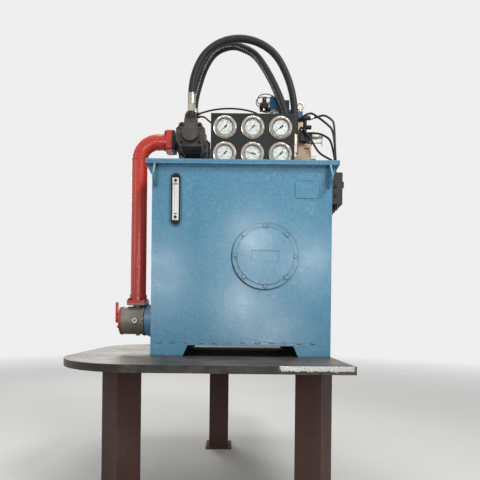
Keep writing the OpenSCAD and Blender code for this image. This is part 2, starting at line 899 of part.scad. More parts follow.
module arch_hose_rear() {
    color([0.15, 0.15, 0.15]) arch(rear_path, [hose_x0, outlet_y[1], hose_z0],
        [rear_end[0], rear_end[1], hose_end_z]);
}

// Nut and crimped ferrule, stacked upward from the origin
module hose_end() {
    hex(nut_af, nut_len);
    translate([0, 0, nut_len]) cylinder(r = ferrule_r, h = ferrule_len);
}

module hose_fittings() {
    color(zinc) {
        for (y = outlet_y) translate([hose_x0, y, pump_cz + outlet_pad + outlet_h]) hose_end();
        for (p = [front_end, rear_end]) translate([p[0], p[1], port_top]) {
            cylinder(r = nut_af * 0.38, h = end_fit);
            hex(nut_af - 2, end_fit / 2);
            translate([0, 0, end_fit]) hose_end();
        }
    }
}

// Points of a soft curve through the given points, with n steps between each two
function curve_at(p, i, u) =
    let (a = p[max(i - 1, 0)], b = p[i], c = p[i + 1], d = p[min(i + 2, len(p) - 1)])
    0.5 * (2 * b + (c - a) * u + (2 * a - 5 * b + 4 * c - d) * u * u
        + (3 * b - a - 3 * c + d) * u * u * u);
function curve(p, n) =
    concat([for (i = [0 : len(p) - 2], k = [0 : n - 1]) curve_at(p, i, k / n)], [p[len(p) - 1]]);
function headings(q) =
    [for (i = [0 : len(q) - 1]) unit(q[min(i + 1, len(q) - 1)] - q[max(i - 1, 0)])];
function across(t, v, i = 0) =
    i >= len(t) ? [] : let (m = unit(v - (v * t[i]) * t[i])) concat([m], across(t, m, i + 1));

// A round tube of radius r along the points of q, square to the headings first and last at its ends
module swept(q, r, sides, first, last) {
    inner = headings(q);
    t = concat([unit(first)], [for (i = [1 : len(q) - 2]) inner[i]], [unit(last)]);
    u = across(t, [0.3, 0.9, 0.1]);
    count = len(q);
    rings = [for (i = [0 : count - 1], j = [0 : sides - 1])
        let (a = j * 360 / sides) q[i] + r * (cos(a) * u[i] + sin(a) * cross(t[i], u[i]))];
    walls = [for (i = [0 : count - 2], j = [0 : sides - 1], half = [0, 1])
        let (a = i * sides + j, b = i * sides + (j + 1) % sides, c = b + sides, d = a + sides)
        half == 0 ? [a, d, c] : [a, c, b]];
    ends = [[for (j = [0 : sides - 1]) j],
        [for (j = [sides - 1 : -1 : 0]) (count - 1) * sides + j]];
    polyhedron(points = rings, faces = concat(walls, ends));
}

module line_through(points, r, n = 3, sides = 8) {
    end = len(points) - 1;
    swept(curve(points, n), r, sides, points[1] - points[0], points[end] - points[end - 1]);
}

// Places of the six gauges, from the lower left one
function gauge_at(i, k) =
    [tank_x + panel_x + (i - 1) * gauge_dx, front_y + panel_back, top_z + gauge_z + k * gauge_dz];

stem_y = front_y + panel_back + panel_t + gauge_case_d + stem_len;

module gauge_lines() {
    left = gauge_at(0, 1);
    middle = gauge_at(1, 1);
    out = outlet_neck_r + seat_gap;
    first = [pump_cx + out, outlet_y[0], pump_cz + outlet_pad + 45];
    second = [pump_cx + out * cos(45), outlet_y[0] + out * sin(45), pump_cz + outlet_pad + 41];
    bend = [0, 34, 0];
    color(black) {
        line_through([first, first + [14, 0, 0], first + [104, 5, 27], first + [204, 10, 39],
            first + [306, 16, 32], first + [378, 30, 10], [middle[0] + 24, stem_y + 60, middle[2] + 70],
            [middle[0], stem_y, middle[2]] + bend, [middle[0], stem_y, middle[2]]], line_r);
        line_through([second, second + [14, 8, 0], second + [54, 12, 0], second + [87, 15, -24],
            [left[0] - 20, stem_y + 50, left[2] + 26],
            [left[0], stem_y, left[2]] + bend, [left[0], stem_y, left[2]]], line_r);
    }
}

// Gauge panel

panel_x0 = tank_x + panel_x - panel_w / 2;
panel_y = front_y + panel_back;

module each_gauge() {
    for (i = [0 : 2], k = [0, 1]) translate(gauge_at(i, k)) children();
}

module gauge_panel() {
    color(black) difference() {
        block([panel_x0, panel_y, top_z], [panel_x0 + panel_w, panel_y + panel_t, top_z + panel_h]);
        each_gauge() rod_y([0, -1, 0], gauge_case_r + hole_gap, panel_t + 2);
    }
}

module panel_stays() {
    color(black) for (x = [panel_x0, panel_x0 + panel_w - panel_t])
        block([x, panel_y + panel_t, top_z],
            [x + panel_t, panel_y + panel_t + stay_d, top_z + panel_h]);
}

bezel_d = 12;
dial_seat = 2;
dial_t = 1.5;

module gauge_cases() {
    flange = 3;
    stem_r = 7;
    color([0.75, 0.75, 0.74]) each_gauge() {
        difference() {
            union() {
                rod_y([0, -flange, 0], gauge_flange_r, flange);
                rod_y([0, -bezel_d, 0], dial_r + 6, bezel_d);
                rod_y([0, 0, 0], gauge_case_r, panel_t + gauge_case_d);
                rod_y([0, panel_t + gauge_case_d, 0], stem_r, stem_len);
            }
            rod_y([0, -bezel_d - 1, 0], dial_r, bezel_d + 1 - dial_seat);
        }
    }
}

module gauge_dials() {
    color(white) each_gauge() rod_y([0, -dial_seat - dial_t, 0], dial_r - 1, dial_t);
}

module gauge_pointers() {
    hub_r = 5;
    tip = 38;
    tail = 13;
    weight_r = 5.5;
    hub_h = 4;
    lift = 3;
    face = -dial_seat - dial_t;
    // Turn of each pointer from level right: all rest at zero but two
    turns = [[225, 225], [165, 225], [225, 219]];
    color(black) for (i = [0 : 2], k = [0, 1]) translate(gauge_at(i, k)) {
        rod_y([0, face - hub_h, 0], hub_r, hub_h);
        front_plate(face - lift, 1) rotate(turns[i][k]) {
            polygon([[-tail, -1.6], [tip, -0.8], [tip, 0.8], [-tail, 1.6]]);
            translate([-tail, 0]) circle(weight_r);
        }
    }
}

// Valves

tower_x1 = tank_x + tower_right;
tower_x0 = tower_x1 - tower_w;
tower_y0 = front_y + tower_back;
tower_y1 = tower_y0 + tower_d;
tower_top = top_z + tower_h;
shoulder_x = tower_x1 - shoulder_w;
shoulder_top = top_z + shoulder_h;
valve_y = tower_y0 + 45;

// The stack of plates under the solenoid valve, as left and right ends and thicknesses
base_x = [tower_x0 + 30, shoulder_x + 4];
base_t = 17;
strip_t = 14;
valve_z = tower_top + base_t + strip_t;
valve_half = 31;

module valve_tower() {
    slot = [30, 14, 6];
    slot_z = top_z + side_h - 34;
    color(raw_steel) {
        block([tower_x0, tower_y0, top_z], [shoulder_x, tower_y1, tower_top]);
        block([shoulder_x, tower_y0, top_z], [tower_x1, tower_y1, shoulder_top]);
        difference() {
            block([tower_x1, tower_y0, top_z], [tower_x1 + side_w, tower_y1 - 20, top_z + side_h]);
            translate([tower_x1 + 6, tower_y0 - 1, slot_z]) cube(slot);
        }
        block([base_x[0], valve_y - valve_half, tower_top + base_t],
            [base_x[1], valve_y + valve_half, valve_z]);
    }
}

module port_block() {
    side = 42;
    color(raw_steel) block([rear_end[0] - side, port_y0, top_z],
        [front_end[0] + side, tower_y0, port_top]);
}

valve_x0 = base_x[0] - 4;
side_block_top = tower_top + base_t;

module solenoid_valve() {
    body_w = 120;
    body_h = 58;
    raised = [63, 20];
    color([0.16, 0.30, 0.50]) {
        block([base_x[0], valve_y - valve_half, tower_top],
            [base_x[1], valve_y + valve_half, tower_top + base_t]);
        block([valve_x0, valve_y - valve_half, valve_z],
            [valve_x0 + body_w, valve_y + valve_half, valve_z + body_h]);
        block([valve_x0, valve_y - valve_half, valve_z + body_h],
            [valve_x0 + raised[0], valve_y + valve_half, valve_z + body_h + raised[1]]);
        // Block on the tower's right shoulder
        block([base_x[1] + seat_gap, valve_y - valve_half - 9, shoulder_top],
            [tower_x1 - 2, valve_y + valve_half + 9, side_block_top]);
    }
}

module valve_coils() {
    coil_r = 27;
    coil_len = 60;
    plug = [26, 40, 48];
    x0 = valve_x0 - coil_len;
    z = valve_z + coil_r + 2;
    color(black) {
        rod_x([x0, valve_y, z], coil_r, coil_len);
        translate([x0 + 14, valve_y - plug[1] / 2, z]) cube(plug);
    }
}

relief_w = 58;
relief_x1 = tower_x1 + relief_w;
coil_z = side_block_top - 20;
coil_tip = 50;

module relief_valves() {
    z1 = top_z + side_h;
    relief_top = z1 + 71;
    coil_r = 12.5;
    coil_x = tower_x1 + 18;
    front_block = [[-23, -30, 6], [14, 0, 69]];
    color(black) {
        block([tower_x1, tower_y0, z1], [relief_x1, tower_y0 + 90, relief_top]);
        block([tower_x1, tower_y0, z1] + front_block[0], [tower_x1, tower_y0, z1] + front_block[1]);
        rod_z([coil_x, valve_y, relief_top], coil_r, coil_z - relief_top - coil_r);
        rod_x([tower_x1, valve_y, relief_top + 50], coil_r, relief_w);
        rod_x([tower_x1 - 2, valve_y, coil_z], coil_r, coil_tip + 2);
        rod_x([tower_x1 - 17, valve_y - valve_half - 9 - 9, coil_z - 30], 9, 61);
    }
}

module lifting_eye() {
    bar_r = 7;
    base_r = 12;
    neck_r = 8;
    x = tower_x1 - 2 - base_r;
    ring_z = side_block_top + 51;
    color(zinc) {
        rod_z([x, valve_y, side_block_top], base_r, 9);
        rod_z([x, valve_y, side_block_top], neck_r, ring_z - side_block_top - eye_r + bar_r);
        translate([x, valve_y, ring_z]) rotate([90, 0, 0]) rotate_extrude()
            translate([eye_r - bar_r, 0]) circle(bar_r, $fn = 24);
    }
}

main_z = top_z + main_port_z;
low_port_z = top_z + 131;

module port_fittings() {
    nut = [38, 41];
    stub = [17, 30];
    bore_from = 20;
    low_nut = [30, 36];
    coil_nut = [24, 20];
    stem = [5, 61];
    handle = [4, 37];
    needle = [relief_x1, valve_y - 30, main_z - 54];
    color(zinc) {
        difference() {
            union() {
                translate([relief_x1, valve_y, main_z]) rotate([0, 90, 0]) hex(nut[0], nut[1]);
                rod_x([relief_x1 + nut[1], valve_y, main_z], stub[0], stub[1]);
            }
            rod_x([relief_x1 + bore_from, valve_y, main_z], port_bore_r, nut[1] + stub[1]);
        }
        translate([tower_x1 + side_w, valve_y, low_port_z]) rotate([0, 90, 0])
            hex(low_nut[0], low_nut[1]);
        translate([tower_x1 + coil_tip, valve_y, coil_z]) rotate([0, 90, 0])
            hex(coil_nut[0], coil_nut[1]);
        // Needle valve with its cross handle
        rod_x(needle, stem[0], stem[1]);
        rod_z(needle + [stem[1], 0, -handle[1] / 2], handle[0], handle[1]);
    }
}

// Terminal box

box_y0 = front_y + box_back;
box_z0 = table_h + box_z - box_h / 2;

module terminal_box() {
    color([0.24, 0.25, 0.26]) block([right_x, box_y0, box_z0],
        [right_x + box_w, box_y0 + box_d, box_z0 + box_h]);
}

module terminal_box_lid() {
    latch = [16, 34];
    x = right_x + box_w;
    color([0.20, 0.21, 0.22]) {
        side_plate(x, lid_t) translate([box_y0 + box_d / 2, box_z0 + box_h / 2])
            rounded(box_d, box_h, 6);
        side_plate(x + lid_t, latch_t)
            translate([box_y0 + 24, box_z0 + box_h * 0.64]) square(latch, center = true);
    }
}

// Middle of the cable entry's top, on the terminal box
entry_h = 22;
entry = [right_x + 50, box_y0 + 100, box_z0 + box_h + entry_h];

module cable_glands() {
    gland_r = 11;
    gland_len = 26;
    nut = [28, 8];
    spacing = 48;
    color(black) {
        for (i = [-1 : 1])
            translate([right_x + 38, box_y0 + box_d / 2 + i * spacing, box_z0 - gland_len]) {
                cylinder(r = gland_r, h = gland_len);
                translate([0, 0, (gland_len - nut[1]) / 2]) hex(nut[0], nut[1]);
            }
        translate(entry - [0, 0, entry_h]) linear_extrude(entry_h) rounded(28, 50, 12);
    }
}

// Each cable runs from its coil or plug, over the cover's right edge and down into the terminal box
module valve_cables() {
    step = 2 * cable_r + 2;
    front = [tower_x1, tower_y0, top_z];
    routes = [
        [[-31, 5, 345], [-31, -16, 345], [29, -30, 377], [62, -34, 364], [107, -52, 322],
            [142, -74, 278], [162, -94, 232]],
        [[70, 45, 385], [91, 42, 386], [122, 6, 383], [146, -22, 358], [164, -48, 326],
            [174, -70, 280]],
        [[29, 0, 263], [29, -14, 263], [89, -38, 250], [131, -58, 220], [156, -70, 185]],
        [[-19, 0, 289], [-19, -16, 289], [-12, -40, 284], [18, -42, 240], [54, -42, 191],
            [96, -42, 123]]];
    color(black) for (i = [0 : len(routes) - 1]) {
        side = [0, (i - (len(routes) - 1) / 2) * step, 0];
        over = [right_x + overhang + 18, entry[1], top_z + 70] + side;
        line_through(concat([for (p = routes[i]) front + p],
            [over, over - [0, 0, 50], entry + side]), cable_r);
    }
}

table_top();
table_leg_front_left();
table_leg_front_right();
table_leg_rear();
base_skirt_front();
base_skirt_back();
base_skirt_sides();
tank_floor();
tank_front_wall();
tank_back_wall();
tank_left_wall();
tank_right_wall();
tank_flange();
tank_cover();
lifting_lugs();
flange_gussets();
access_cover();
level_frame();
level_gauge();
plate_pad();
filler_breather();
filter_neck();
filter_body();
filter_cap();
filter_handle();
suction_pipe();
pipe_flanges();
pump_adaptor();
pump_body();
pump_end_cover();
pump_bracket();
drive_motor();
motor_terminal_box();
outlet_flanges();
hose_fittings();
arch_hose_front();
arch_hose_rear();
gauge_lines();
gauge_panel();
panel_stays();
gauge_cases();
gauge_dials();
gauge_pointers();
valve_tower();
port_block();
solenoid_valve();
valve_coils();
relief_valves();
lifting_eye();
port_fittings();
terminal_box();
terminal_box_lid();
cable_glands();
valve_cables();
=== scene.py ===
"""Looks of a hydraulic power unit: finishes for its solids, and the small pieces fitted to them.

The file is laid out as a Blender add-on and is run as a script. Lengths are metres, in the
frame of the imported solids: +Z up, the gauge panel faces -Y, the ground is at Z 0.
"""
import json
import math

import bmesh
import bpy
from bpy.props import FloatProperty, FloatVectorProperty, IntProperty, PointerProperty
from mathutils import Matrix, Vector


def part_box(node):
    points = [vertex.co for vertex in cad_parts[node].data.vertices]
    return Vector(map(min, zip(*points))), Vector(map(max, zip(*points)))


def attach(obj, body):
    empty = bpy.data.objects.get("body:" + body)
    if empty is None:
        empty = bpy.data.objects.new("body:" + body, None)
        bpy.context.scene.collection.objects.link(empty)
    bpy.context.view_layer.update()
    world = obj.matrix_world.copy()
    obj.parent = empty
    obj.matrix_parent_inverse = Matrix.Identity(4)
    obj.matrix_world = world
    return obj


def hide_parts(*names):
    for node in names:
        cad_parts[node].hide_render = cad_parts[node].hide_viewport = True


bl_info = {
    "name": "Hydraulic Power Unit",
    "version": (1, 0, 0),
    "blender": (4, 5, 0),
    "location": "View3D > Sidebar > Power Unit",
    "description": "Finishes, fasteners, gauges and hoses of a hydraulic power unit",
    "category": "Object",
}

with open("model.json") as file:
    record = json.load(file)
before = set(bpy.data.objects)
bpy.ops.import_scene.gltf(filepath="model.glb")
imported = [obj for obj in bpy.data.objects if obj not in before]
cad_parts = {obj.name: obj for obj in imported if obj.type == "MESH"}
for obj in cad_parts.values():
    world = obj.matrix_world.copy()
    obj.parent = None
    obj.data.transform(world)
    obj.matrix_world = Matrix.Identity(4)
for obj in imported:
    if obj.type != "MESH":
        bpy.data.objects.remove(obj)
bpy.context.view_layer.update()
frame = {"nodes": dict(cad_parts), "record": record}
MM = 0.001
FRONT, UP, LEFT, RIGHT = (0, -1, 0), (0, 0, 1), (-1, 0, 0), (1, 0, 0)
CORNERS = ((-1, -1), (-1, 1), (1, -1), (1, 1))


def low(node):
    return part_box(node)[0]


def high(node):
    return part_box(node)[1]


def middle(node):
    return (low(node) + high(node)) / 2


def polar(radius, degrees):
    """Both coordinates of a point on a circle."""
    angle = math.radians(degrees)
    return radius * math.cos(angle), radius * math.sin(angle)


# ---------------------------------------------------------------- values that a user would change


def colour(name, description, value):
    return FloatVectorProperty(name=name, description=description, subtype="COLOR", size=3,
                               min=0.0, max=1.0, default=value)


def length(name, description, value):
    return FloatProperty(name=name, description=description, default=value, min=0.0,
                         unit="LENGTH")


def amount(name, description, value):
    return FloatProperty(name=name, description=description, default=value, min=0.0)


class PowerUnitPaints(bpy.types.PropertyGroup):
    """Base colours of the finishes."""

    tank: colour("Tank enamel", "Gloss enamel of the oil tank", (0.064, 0.232, 0.368))
    tank_pale: colour("Tank enamel, faded", "Enamel paled by dust and light",
                      (0.110, 0.305, 0.450))
    pipe: colour("Suction line red", "Gloss enamel of the suction line", (0.540, 0.030, 0.016))
    primer: colour("Leg primer", "Red oxide primer of the legs", (0.050, 0.021, 0.018))
    plate: colour("Table plate", "Oily, worn steel of the table", (0.052, 0.048, 0.044))
    casting: colour("Filter casting", "Bare aluminium of the filter", (0.300, 0.282, 0.250))
    pump: colour("Pump iron", "Painted iron of the pump", (0.105, 0.088, 0.078))
    black_iron: colour("Black iron", "Paint of brackets and flanges", (0.014, 0.014, 0.016))
    panel: colour("Gauge panel", "Powder coat of the gauge panel", (0.0145, 0.0145, 0.0175))
    rubber: colour("Hose rubber", "Outer skin of the pressure hoses", (0.018, 0.0165, 0.0145))
    zinc: colour("Zinc plate", "Plating of hose ends and fittings", (0.480, 0.455, 0.375))
    stainless: colour("Stainless steel", "Pressed gauge cases", (0.470, 0.440, 0.400))
    steel: colour("Milled steel", "Bare steel of the valve tower", (0.300, 0.232, 0.160))
    valve: colour("Valve blue", "Paint of the directional valve", (0.030, 0.108, 0.240))
    box: colour("Terminal box", "Paint of the terminal box", (0.036, 0.037, 0.037))


class PowerUnitSizes(bpy.types.PropertyGroup):
    """Sizes of the small pieces."""

    edge: length("Edge break", "Width of the bevel along sheet and block edges", 0.0016)
    access_head: length("Cover bolt head", "Width across a cover bolt's flats", 0.019)
    access_bolt_ring: length("Cover bolt circle", "Radius of the cover's bolt circle", 0.166)
    weld: length("Weld bead", "Radius of the weld beads", 0.0045)
    hose: length("Hose solid", "Radius of the arched hoses' solids", 0.0184)
    front_skin: length("Front hose", "Radius of the front hose's skin", 0.0208)
    rear_skin: length("Rear hose", "Radius of the rear hose's skin", 0.0232)
    line: length("Gauge line", "Radius of the thin gauge lines", 0.005)
    cable: length("Valve cable", "Radius of the valve cables", 0.0047)
    wire: length("Valve wire", "Radius of the valve's wires", 0.0027)
    dial: length("Dial", "Radius of a gauge's dial", 0.049)
    ticks: IntProperty(name="Dial ticks", description="Fine divisions on a gauge's dial",
                       default=50, min=10, max=100)


class PowerUnitStudio(bpy.types.PropertyGroup):
    """Camera, light and floor."""

    camera: FloatVectorProperty(name="Camera place", description="Where the camera stands",
                                subtype="TRANSLATION", size=3, default=(0.121, -2.635, 0.960))
    roll: FloatProperty(name="Camera roll", description="Turn of the camera about its axis",
                        default=math.radians(0.65), unit="ROTATION")
    lens: amount("Focal length", "Focal length, in millimetres", 31.1)
    floor: colour("Floor", "Pale studio floor", (0.80, 0.80, 0.79))
    key: amount("Key light", "Power of the key light, in watts", 112.0)
    fill: amount("Fill light", "Power of the fill light, in watts", 20.0)
    glow: amount("Glow lights", "Power of the small lamps, in watts", 6.6)
    room: amount("Room tone", "Brightness of the room where it is seen", 0.86)
    sky: amount("Room light", "Strength of the even light of the room", 0.30)


def paints():
    return bpy.context.scene.power_unit_paints


def sizes():
    return bpy.context.scene.power_unit_sizes


def studio():
    return bpy.context.scene.power_unit_studio


# ---------------------------------------------------------------- shader building


class Net:
    """Adds nodes to an emptied node tree and links their sockets."""

    def __init__(self, tree):
        tree.nodes.clear()
        self.tree = tree

    def add(self, kind, settings=(), **values):
        count = len(self.tree.nodes)
        node = self.tree.nodes.new("ShaderNode" + kind)
        node.location = (190 * (count % 9), -260 * (count // 9))
        for name, value in dict(settings).items():
            setattr(node, name, value)
        for name, value in values.items():
            self.feed(node.inputs[name.replace("_", " ")], value)
        return node

    def feed(self, socket, value):
        if isinstance(value, bpy.types.NodeSocket):
            self.tree.links.new(value, socket)
        else:
            socket.default_value = (*value, 1.0) if socket.type == "RGBA" else value

    def math(self, operation, a, b=0.0, clamp=False):
        node = self.add("Math", {"operation": operation, "use_clamp": clamp})
        self.feed(node.inputs[0], a)
        self.feed(node.inputs[1], b)
        return node.outputs[0]

    def times(self, product, *factors):
        for factor in factors:
            product = self.math("MULTIPLY", product, factor)
        return product

    def plus(self, a, b, clamp=False):
        return self.math("ADD", a, b, clamp)

    def minus(self, a, b, clamp=False):
        return self.math("SUBTRACT", a, b, clamp)

    def blend(self, share, a, b):
        node = self.add("Mix", {"data_type": "RGBA", "clamp_factor": True})
        for index, value in ((0, share), (6, a), (7, b)):
            self.feed(node.inputs[index], value)
        return node.outputs[2]

    def spread(self, value, from_low, from_high, to_low=0.0, to_high=1.0):
        return self.add("MapRange", {"clamp": True}, Value=value, From_Min=from_low,
                        From_Max=from_high, To_Min=to_low, To_Max=to_high).outputs[0]

    def place(self, scale=None):
        """Object coordinates, stretched by scale."""
        spot = self.add("TexCoord").outputs["Object"]
        return self.add("Mapping", Vector=spot, Scale=scale).outputs[0] if scale else spot

    def noise(self, spot, scale, detail=2.0, rough=0.5):
        return self.add("TexNoise", Vector=spot, Scale=scale, Detail=detail,
                        Roughness=rough).outputs[0]

    def group(self, name, **values):
        node = self.add("Group", {"node_tree": bpy.data.node_groups[name]})
        for key, value in values.items():
            self.feed(node.inputs[key], value)
        return node.outputs

    def mask(self, name, **values):
        return self.group(name, **values)["Mask"]

    def end(self, kind, result):
        """The tree's output node."""
        self.feed(self.add("Output" + kind).inputs["Surface"], result)


def enamel_group(net, ins):
    """Sprayed enamel: slow change of tone, fine speckle and orange peel."""
    spot = net.place()
    slow = net.spread(net.noise(spot, 1.9, 3.0, 0.55), 0.38, 0.72)
    fine = net.noise(spot, 260.0, 3.0, 0.62)
    coarse = net.noise(spot, 82.0, 3.0, 0.6)
    grain = net.plus(net.times(fine, 0.6), net.times(coarse, 0.9))
    grain = net.times(net.minus(grain, 0.75), ins["Speckle"])
    share = net.plus(net.times(slow, 0.55), net.times(grain, 2.2), clamp=True)
    tone = net.blend(share, ins["Paint"], ins["Faded"])
    shade = net.add("HueSaturation", Color=tone, Value=net.plus(1.0, grain)).outputs[0]
    rough = net.plus(ins["Gloss"], net.spread(net.noise(spot, 7.0, 4.0, 0.6), 0.3, 0.7, -0.05,
                                              0.09))
    rough = net.plus(rough, net.spread(coarse, 0.35, 0.65, -0.035, 0.035))
    return {"Color": shade, "Roughness": rough,
            "Height": net.plus(net.times(coarse, 2.6), fine)}


def edge_group(net, ins):
    """Mask of worn edges: where the surface turns sharply, broken up by noise."""
    dot = net.add("VectorMath", {"operation": "DOT_PRODUCT"})
    net.feed(dot.inputs[0], net.add("Bevel", {"samples": 6}, Radius=ins["Width"]).outputs[0])
    net.feed(dot.inputs[1], net.add("NewGeometry").outputs["Normal"])
    turn = net.minus(1.0, dot.outputs["Value"])
    rub = net.noise(net.place(), ins["Grain"], 4.0, 0.65)
    limit = net.minus(0.78, net.times(ins["Amount"], 0.5))
    chips = net.spread(rub, limit, net.plus(limit, 0.06))
    return {"Mask": net.times(net.spread(turn, 0.02, 0.16), chips)}


def dust_group(net, ins):
    """Mask of dust and oil film that settle on faces that look up."""
    up = net.add("SeparateXYZ", Vector=net.add("NewGeometry").outputs["Normal"]).outputs["Z"]
    patch = net.spread(net.noise(net.place(), ins["Patch"], 5.0, 0.6), 0.32, 0.75)
    return {"Mask": net.times(net.spread(up, 0.25, 0.95), patch, ins["Amount"])}


def runs_group(net, ins):
    """Mask of streaks that run straight down upright faces."""
    streak = net.noise(net.place((1.0, 1.0, 0.045)), ins["Width"], 4.0, 0.6)
    patch = net.noise(net.place(), 2.3, 2.0, 0.5)
    return {"Mask": net.times(net.spread(streak, 0.52, 0.72), net.spread(patch, 0.42, 0.62),
                              ins["Amount"])}


def crevice_shade_group(net, ins):
    """Mask of painted shade in joints, recesses and inner corners, where ambient occlusion falls;
    partly dirt in the joints.
    """
    near = net.add("AmbientOcclusion", {"samples": 8}, Distance=ins["Reach"]).outputs["AO"]
    broken = net.spread(net.noise(net.place(), 75.0, 3.0, 0.6), 0.25, 0.6, 0.55, 1.0)
    return {"Mask": net.times(net.spread(near, 0.50, 0.94, 1.0, 0.0), broken, ins["Amount"])}


def cast_group(net, ins):
    """Skin of a sand casting: grain in height and tone."""
    spot = net.place()
    grain = net.noise(spot, ins["Grain"], 4.0, 0.6)
    patch = net.noise(spot, 14.0, 4.0, 0.55)
    tone = net.blend(net.spread(patch, 0.35, 0.7), ins["Metal"], ins["Dark"])
    tone = net.blend(net.spread(grain, 0.45, 0.8, 0.0, 0.45), tone, ins["Dark"])
    rough = net.plus(ins["Dullness"], net.spread(grain, 0.3, 0.7, -0.08, 0.10))
    return {"Color": tone, "Roughness": rough, "Height": grain}


def lines_group(net, ins):
    """Fine parallel lines of milling, along X."""
    lines = net.noise(net.place((0.03, 1.0, 1.0)), ins["Pitch"], 3.0, 0.6)
    stain = net.noise(net.place(), 11.0, 5.0, 0.65)
    tone = net.blend(net.spread(stain, 0.40, 0.72), ins["Metal"], ins["Dark"])
    tone = net.blend(net.spread(lines, 0.4, 0.7, 0.0, 0.35), tone, ins["Dark"])
    rough = net.plus(ins["Dullness"], net.spread(stain, 0.3, 0.7, -0.06, 0.14))
    return {"Color": tone, "Roughness": rough, "Height": lines}


# The shared effects: what builds each, and its inputs with their values when left alone
GROUPS = {
    "Enamel": (enamel_group, {"Paint": (0.1, 0.3, 0.4), "Faded": (0.2, 0.4, 0.5),
                              "Gloss": 0.3, "Speckle": 0.12}),
    "Edge Wear": (edge_group, {"Width": 0.003, "Amount": 0.5, "Grain": 60.0}),
    "Settled Dust": (dust_group, {"Amount": 0.4, "Patch": 9.0}),
    "Runs": (runs_group, {"Amount": 0.3, "Width": 24.0}),
    "Crevice Dirt": (crevice_shade_group, {"Reach": 0.016, "Amount": 0.6}),
    "Cast Skin": (cast_group, {"Metal": (0.2, 0.2, 0.2), "Dark": (0.1, 0.1, 0.1),
                               "Grain": 140.0, "Dullness": 0.5}),
    "Tool Lines": (lines_group, {"Metal": (0.4, 0.3, 0.2), "Dark": (0.2, 0.15, 0.1),
                                 "Pitch": 300.0, "Dullness": 0.35}),
}


def make_group(name, build, inputs):
    """A shader group; a value of three numbers is a colour, and so is an output named Color."""
    tree = bpy.data.node_groups.new(name, "ShaderNodeTree")
    for label, value in inputs.items():
        tinted = isinstance(value, tuple)
        socket = tree.interface.new_socket(
            label, in_out="INPUT",
            socket_type="NodeSocketColor" if tinted else "NodeSocketFloat")
        socket.default_value = (*value, 1.0) if tinted else value
    net = Net(tree)
    results = build(net, tree.nodes.new("NodeGroupInput").outputs)
    for label in results:
        tree.interface.new_socket(
            label, in_out="OUTPUT",
            socket_type="NodeSocketColor" if label == "Color" else "NodeSocketFloat")
    out = tree.nodes.new("NodeGroupOutput")
    for label, value in results.items():
        net.feed(out.inputs[label], value)


# ---------------------------------------------------------------- materials

MATERIALS = {}
DUST = (0.30, 0.27, 0.235)
# Dark of runs of dirt, and of painted shade in a casting's corners and recesses
DIRT_AND_SHADE = (0.030, 0.026, 0.022)
BARE = (0.28, 0.25, 0.22)
DULL, PLAIN = 0.22, 0.5  # specular levels of a flat paint and of an ordinary gloss


def scaled(tone, share, lift=0.0):
    return tuple(c * share + lift for c in tone)


def faded(tone, share):
    return tuple(c + (1.0 - c) * share for c in tone)


def new_material(name, view_colour):
    material = MATERIALS[name] = bpy.data.materials.new(name)
    material.use_nodes = True
    material.diffuse_color = (*view_colour, 1.0)
    return Net(material.node_tree)


def shade_surface(net, color, rough, height, bump, distance, **plain):
    """Ends a material in one Principled BSDF; plain are values set on its own sockets."""
    relief = net.add("Bump", Strength=bump, Distance=distance, Height=height).outputs[0]
    shader = net.add("BsdfPrincipled", Base_Color=color, Roughness=rough, Normal=relief, **plain)
    net.end("Material", shader.outputs[0])
    return shader


def enamel(name, paint, pale, gloss, speckle, wear=0.25, dust=0.3, runs=0.0, coat=0.0,
           under=BARE, bump=0.3, deep=0.6, specular=DULL):
    """Paint over steel: enamel, runs of dirt, settled dust, painted shade in corners, and edges
    rubbed through.
    """
    net = new_material(name, paint)
    base = net.group("Enamel", Paint=paint, Faded=pale, Gloss=gloss, Speckle=speckle)
    settled = net.mask("Settled Dust", Amount=dust)
    edge = net.mask("Edge Wear", Amount=wear)
    tone = net.blend(net.mask("Runs", Amount=runs), base["Color"], DIRT_AND_SHADE)
    # Painted shade: corners and recesses turn to a shaded copy of the paint; partly dirt in the
    # joints
    tone = net.blend(net.mask("Crevice Dirt", Amount=deep), tone, scaled(paint, 0.08, 0.004))
    tone = net.blend(settled, tone, DUST)
    tone = net.blend(edge, tone, under)
    rough = net.plus(base["Roughness"], net.times(settled, 0.35))
    rough = net.plus(rough, net.times(edge, 0.2), clamp=True)
    shade_surface(net, tone, rough, base["Height"], bump, 0.001, Coat_Weight=coat,
                  Coat_Roughness=0.12, Specular_IOR_Level=specular)


def casting(name, metal, dark, grain, dull, metallic, wear, specular=PLAIN):
    """Cast metal, bare or thinly painted."""
    net = new_material(name, metal)
    base = net.group("Cast Skin", Metal=metal, Dark=dark, Grain=grain, Dullness=dull)
    # Painted shade in corners and recesses, partly dirt in the joints
    tone = net.blend(net.mask("Crevice Dirt", Amount=0.7), base["Color"], DIRT_AND_SHADE)
    tone = net.blend(net.mask("Settled Dust", Amount=0.25), tone, DUST)
    tone = net.blend(net.mask("Edge Wear", Amount=wear, Width=0.002), tone, BARE)
    shade_surface(net, tone, base["Roughness"], base["Height"], 0.35, 0.0006,
                  Metallic=metallic, Specular_IOR_Level=specular)


def milled(name, metal):
    """Milled or ground steel with a little dust."""
    net = new_material(name, metal)
    base = net.group("Tool Lines", Metal=metal, Dark=scaled(metal, 0.5))
    settled = net.mask("Settled Dust", Amount=0.15)
    rough = net.plus(base["Roughness"], net.times(settled, 0.3), clamp=True)
    shade_surface(net, net.blend(settled, base["Color"], DUST), rough, base["Height"], 0.12,
                  0.0003, Metallic=0.85)


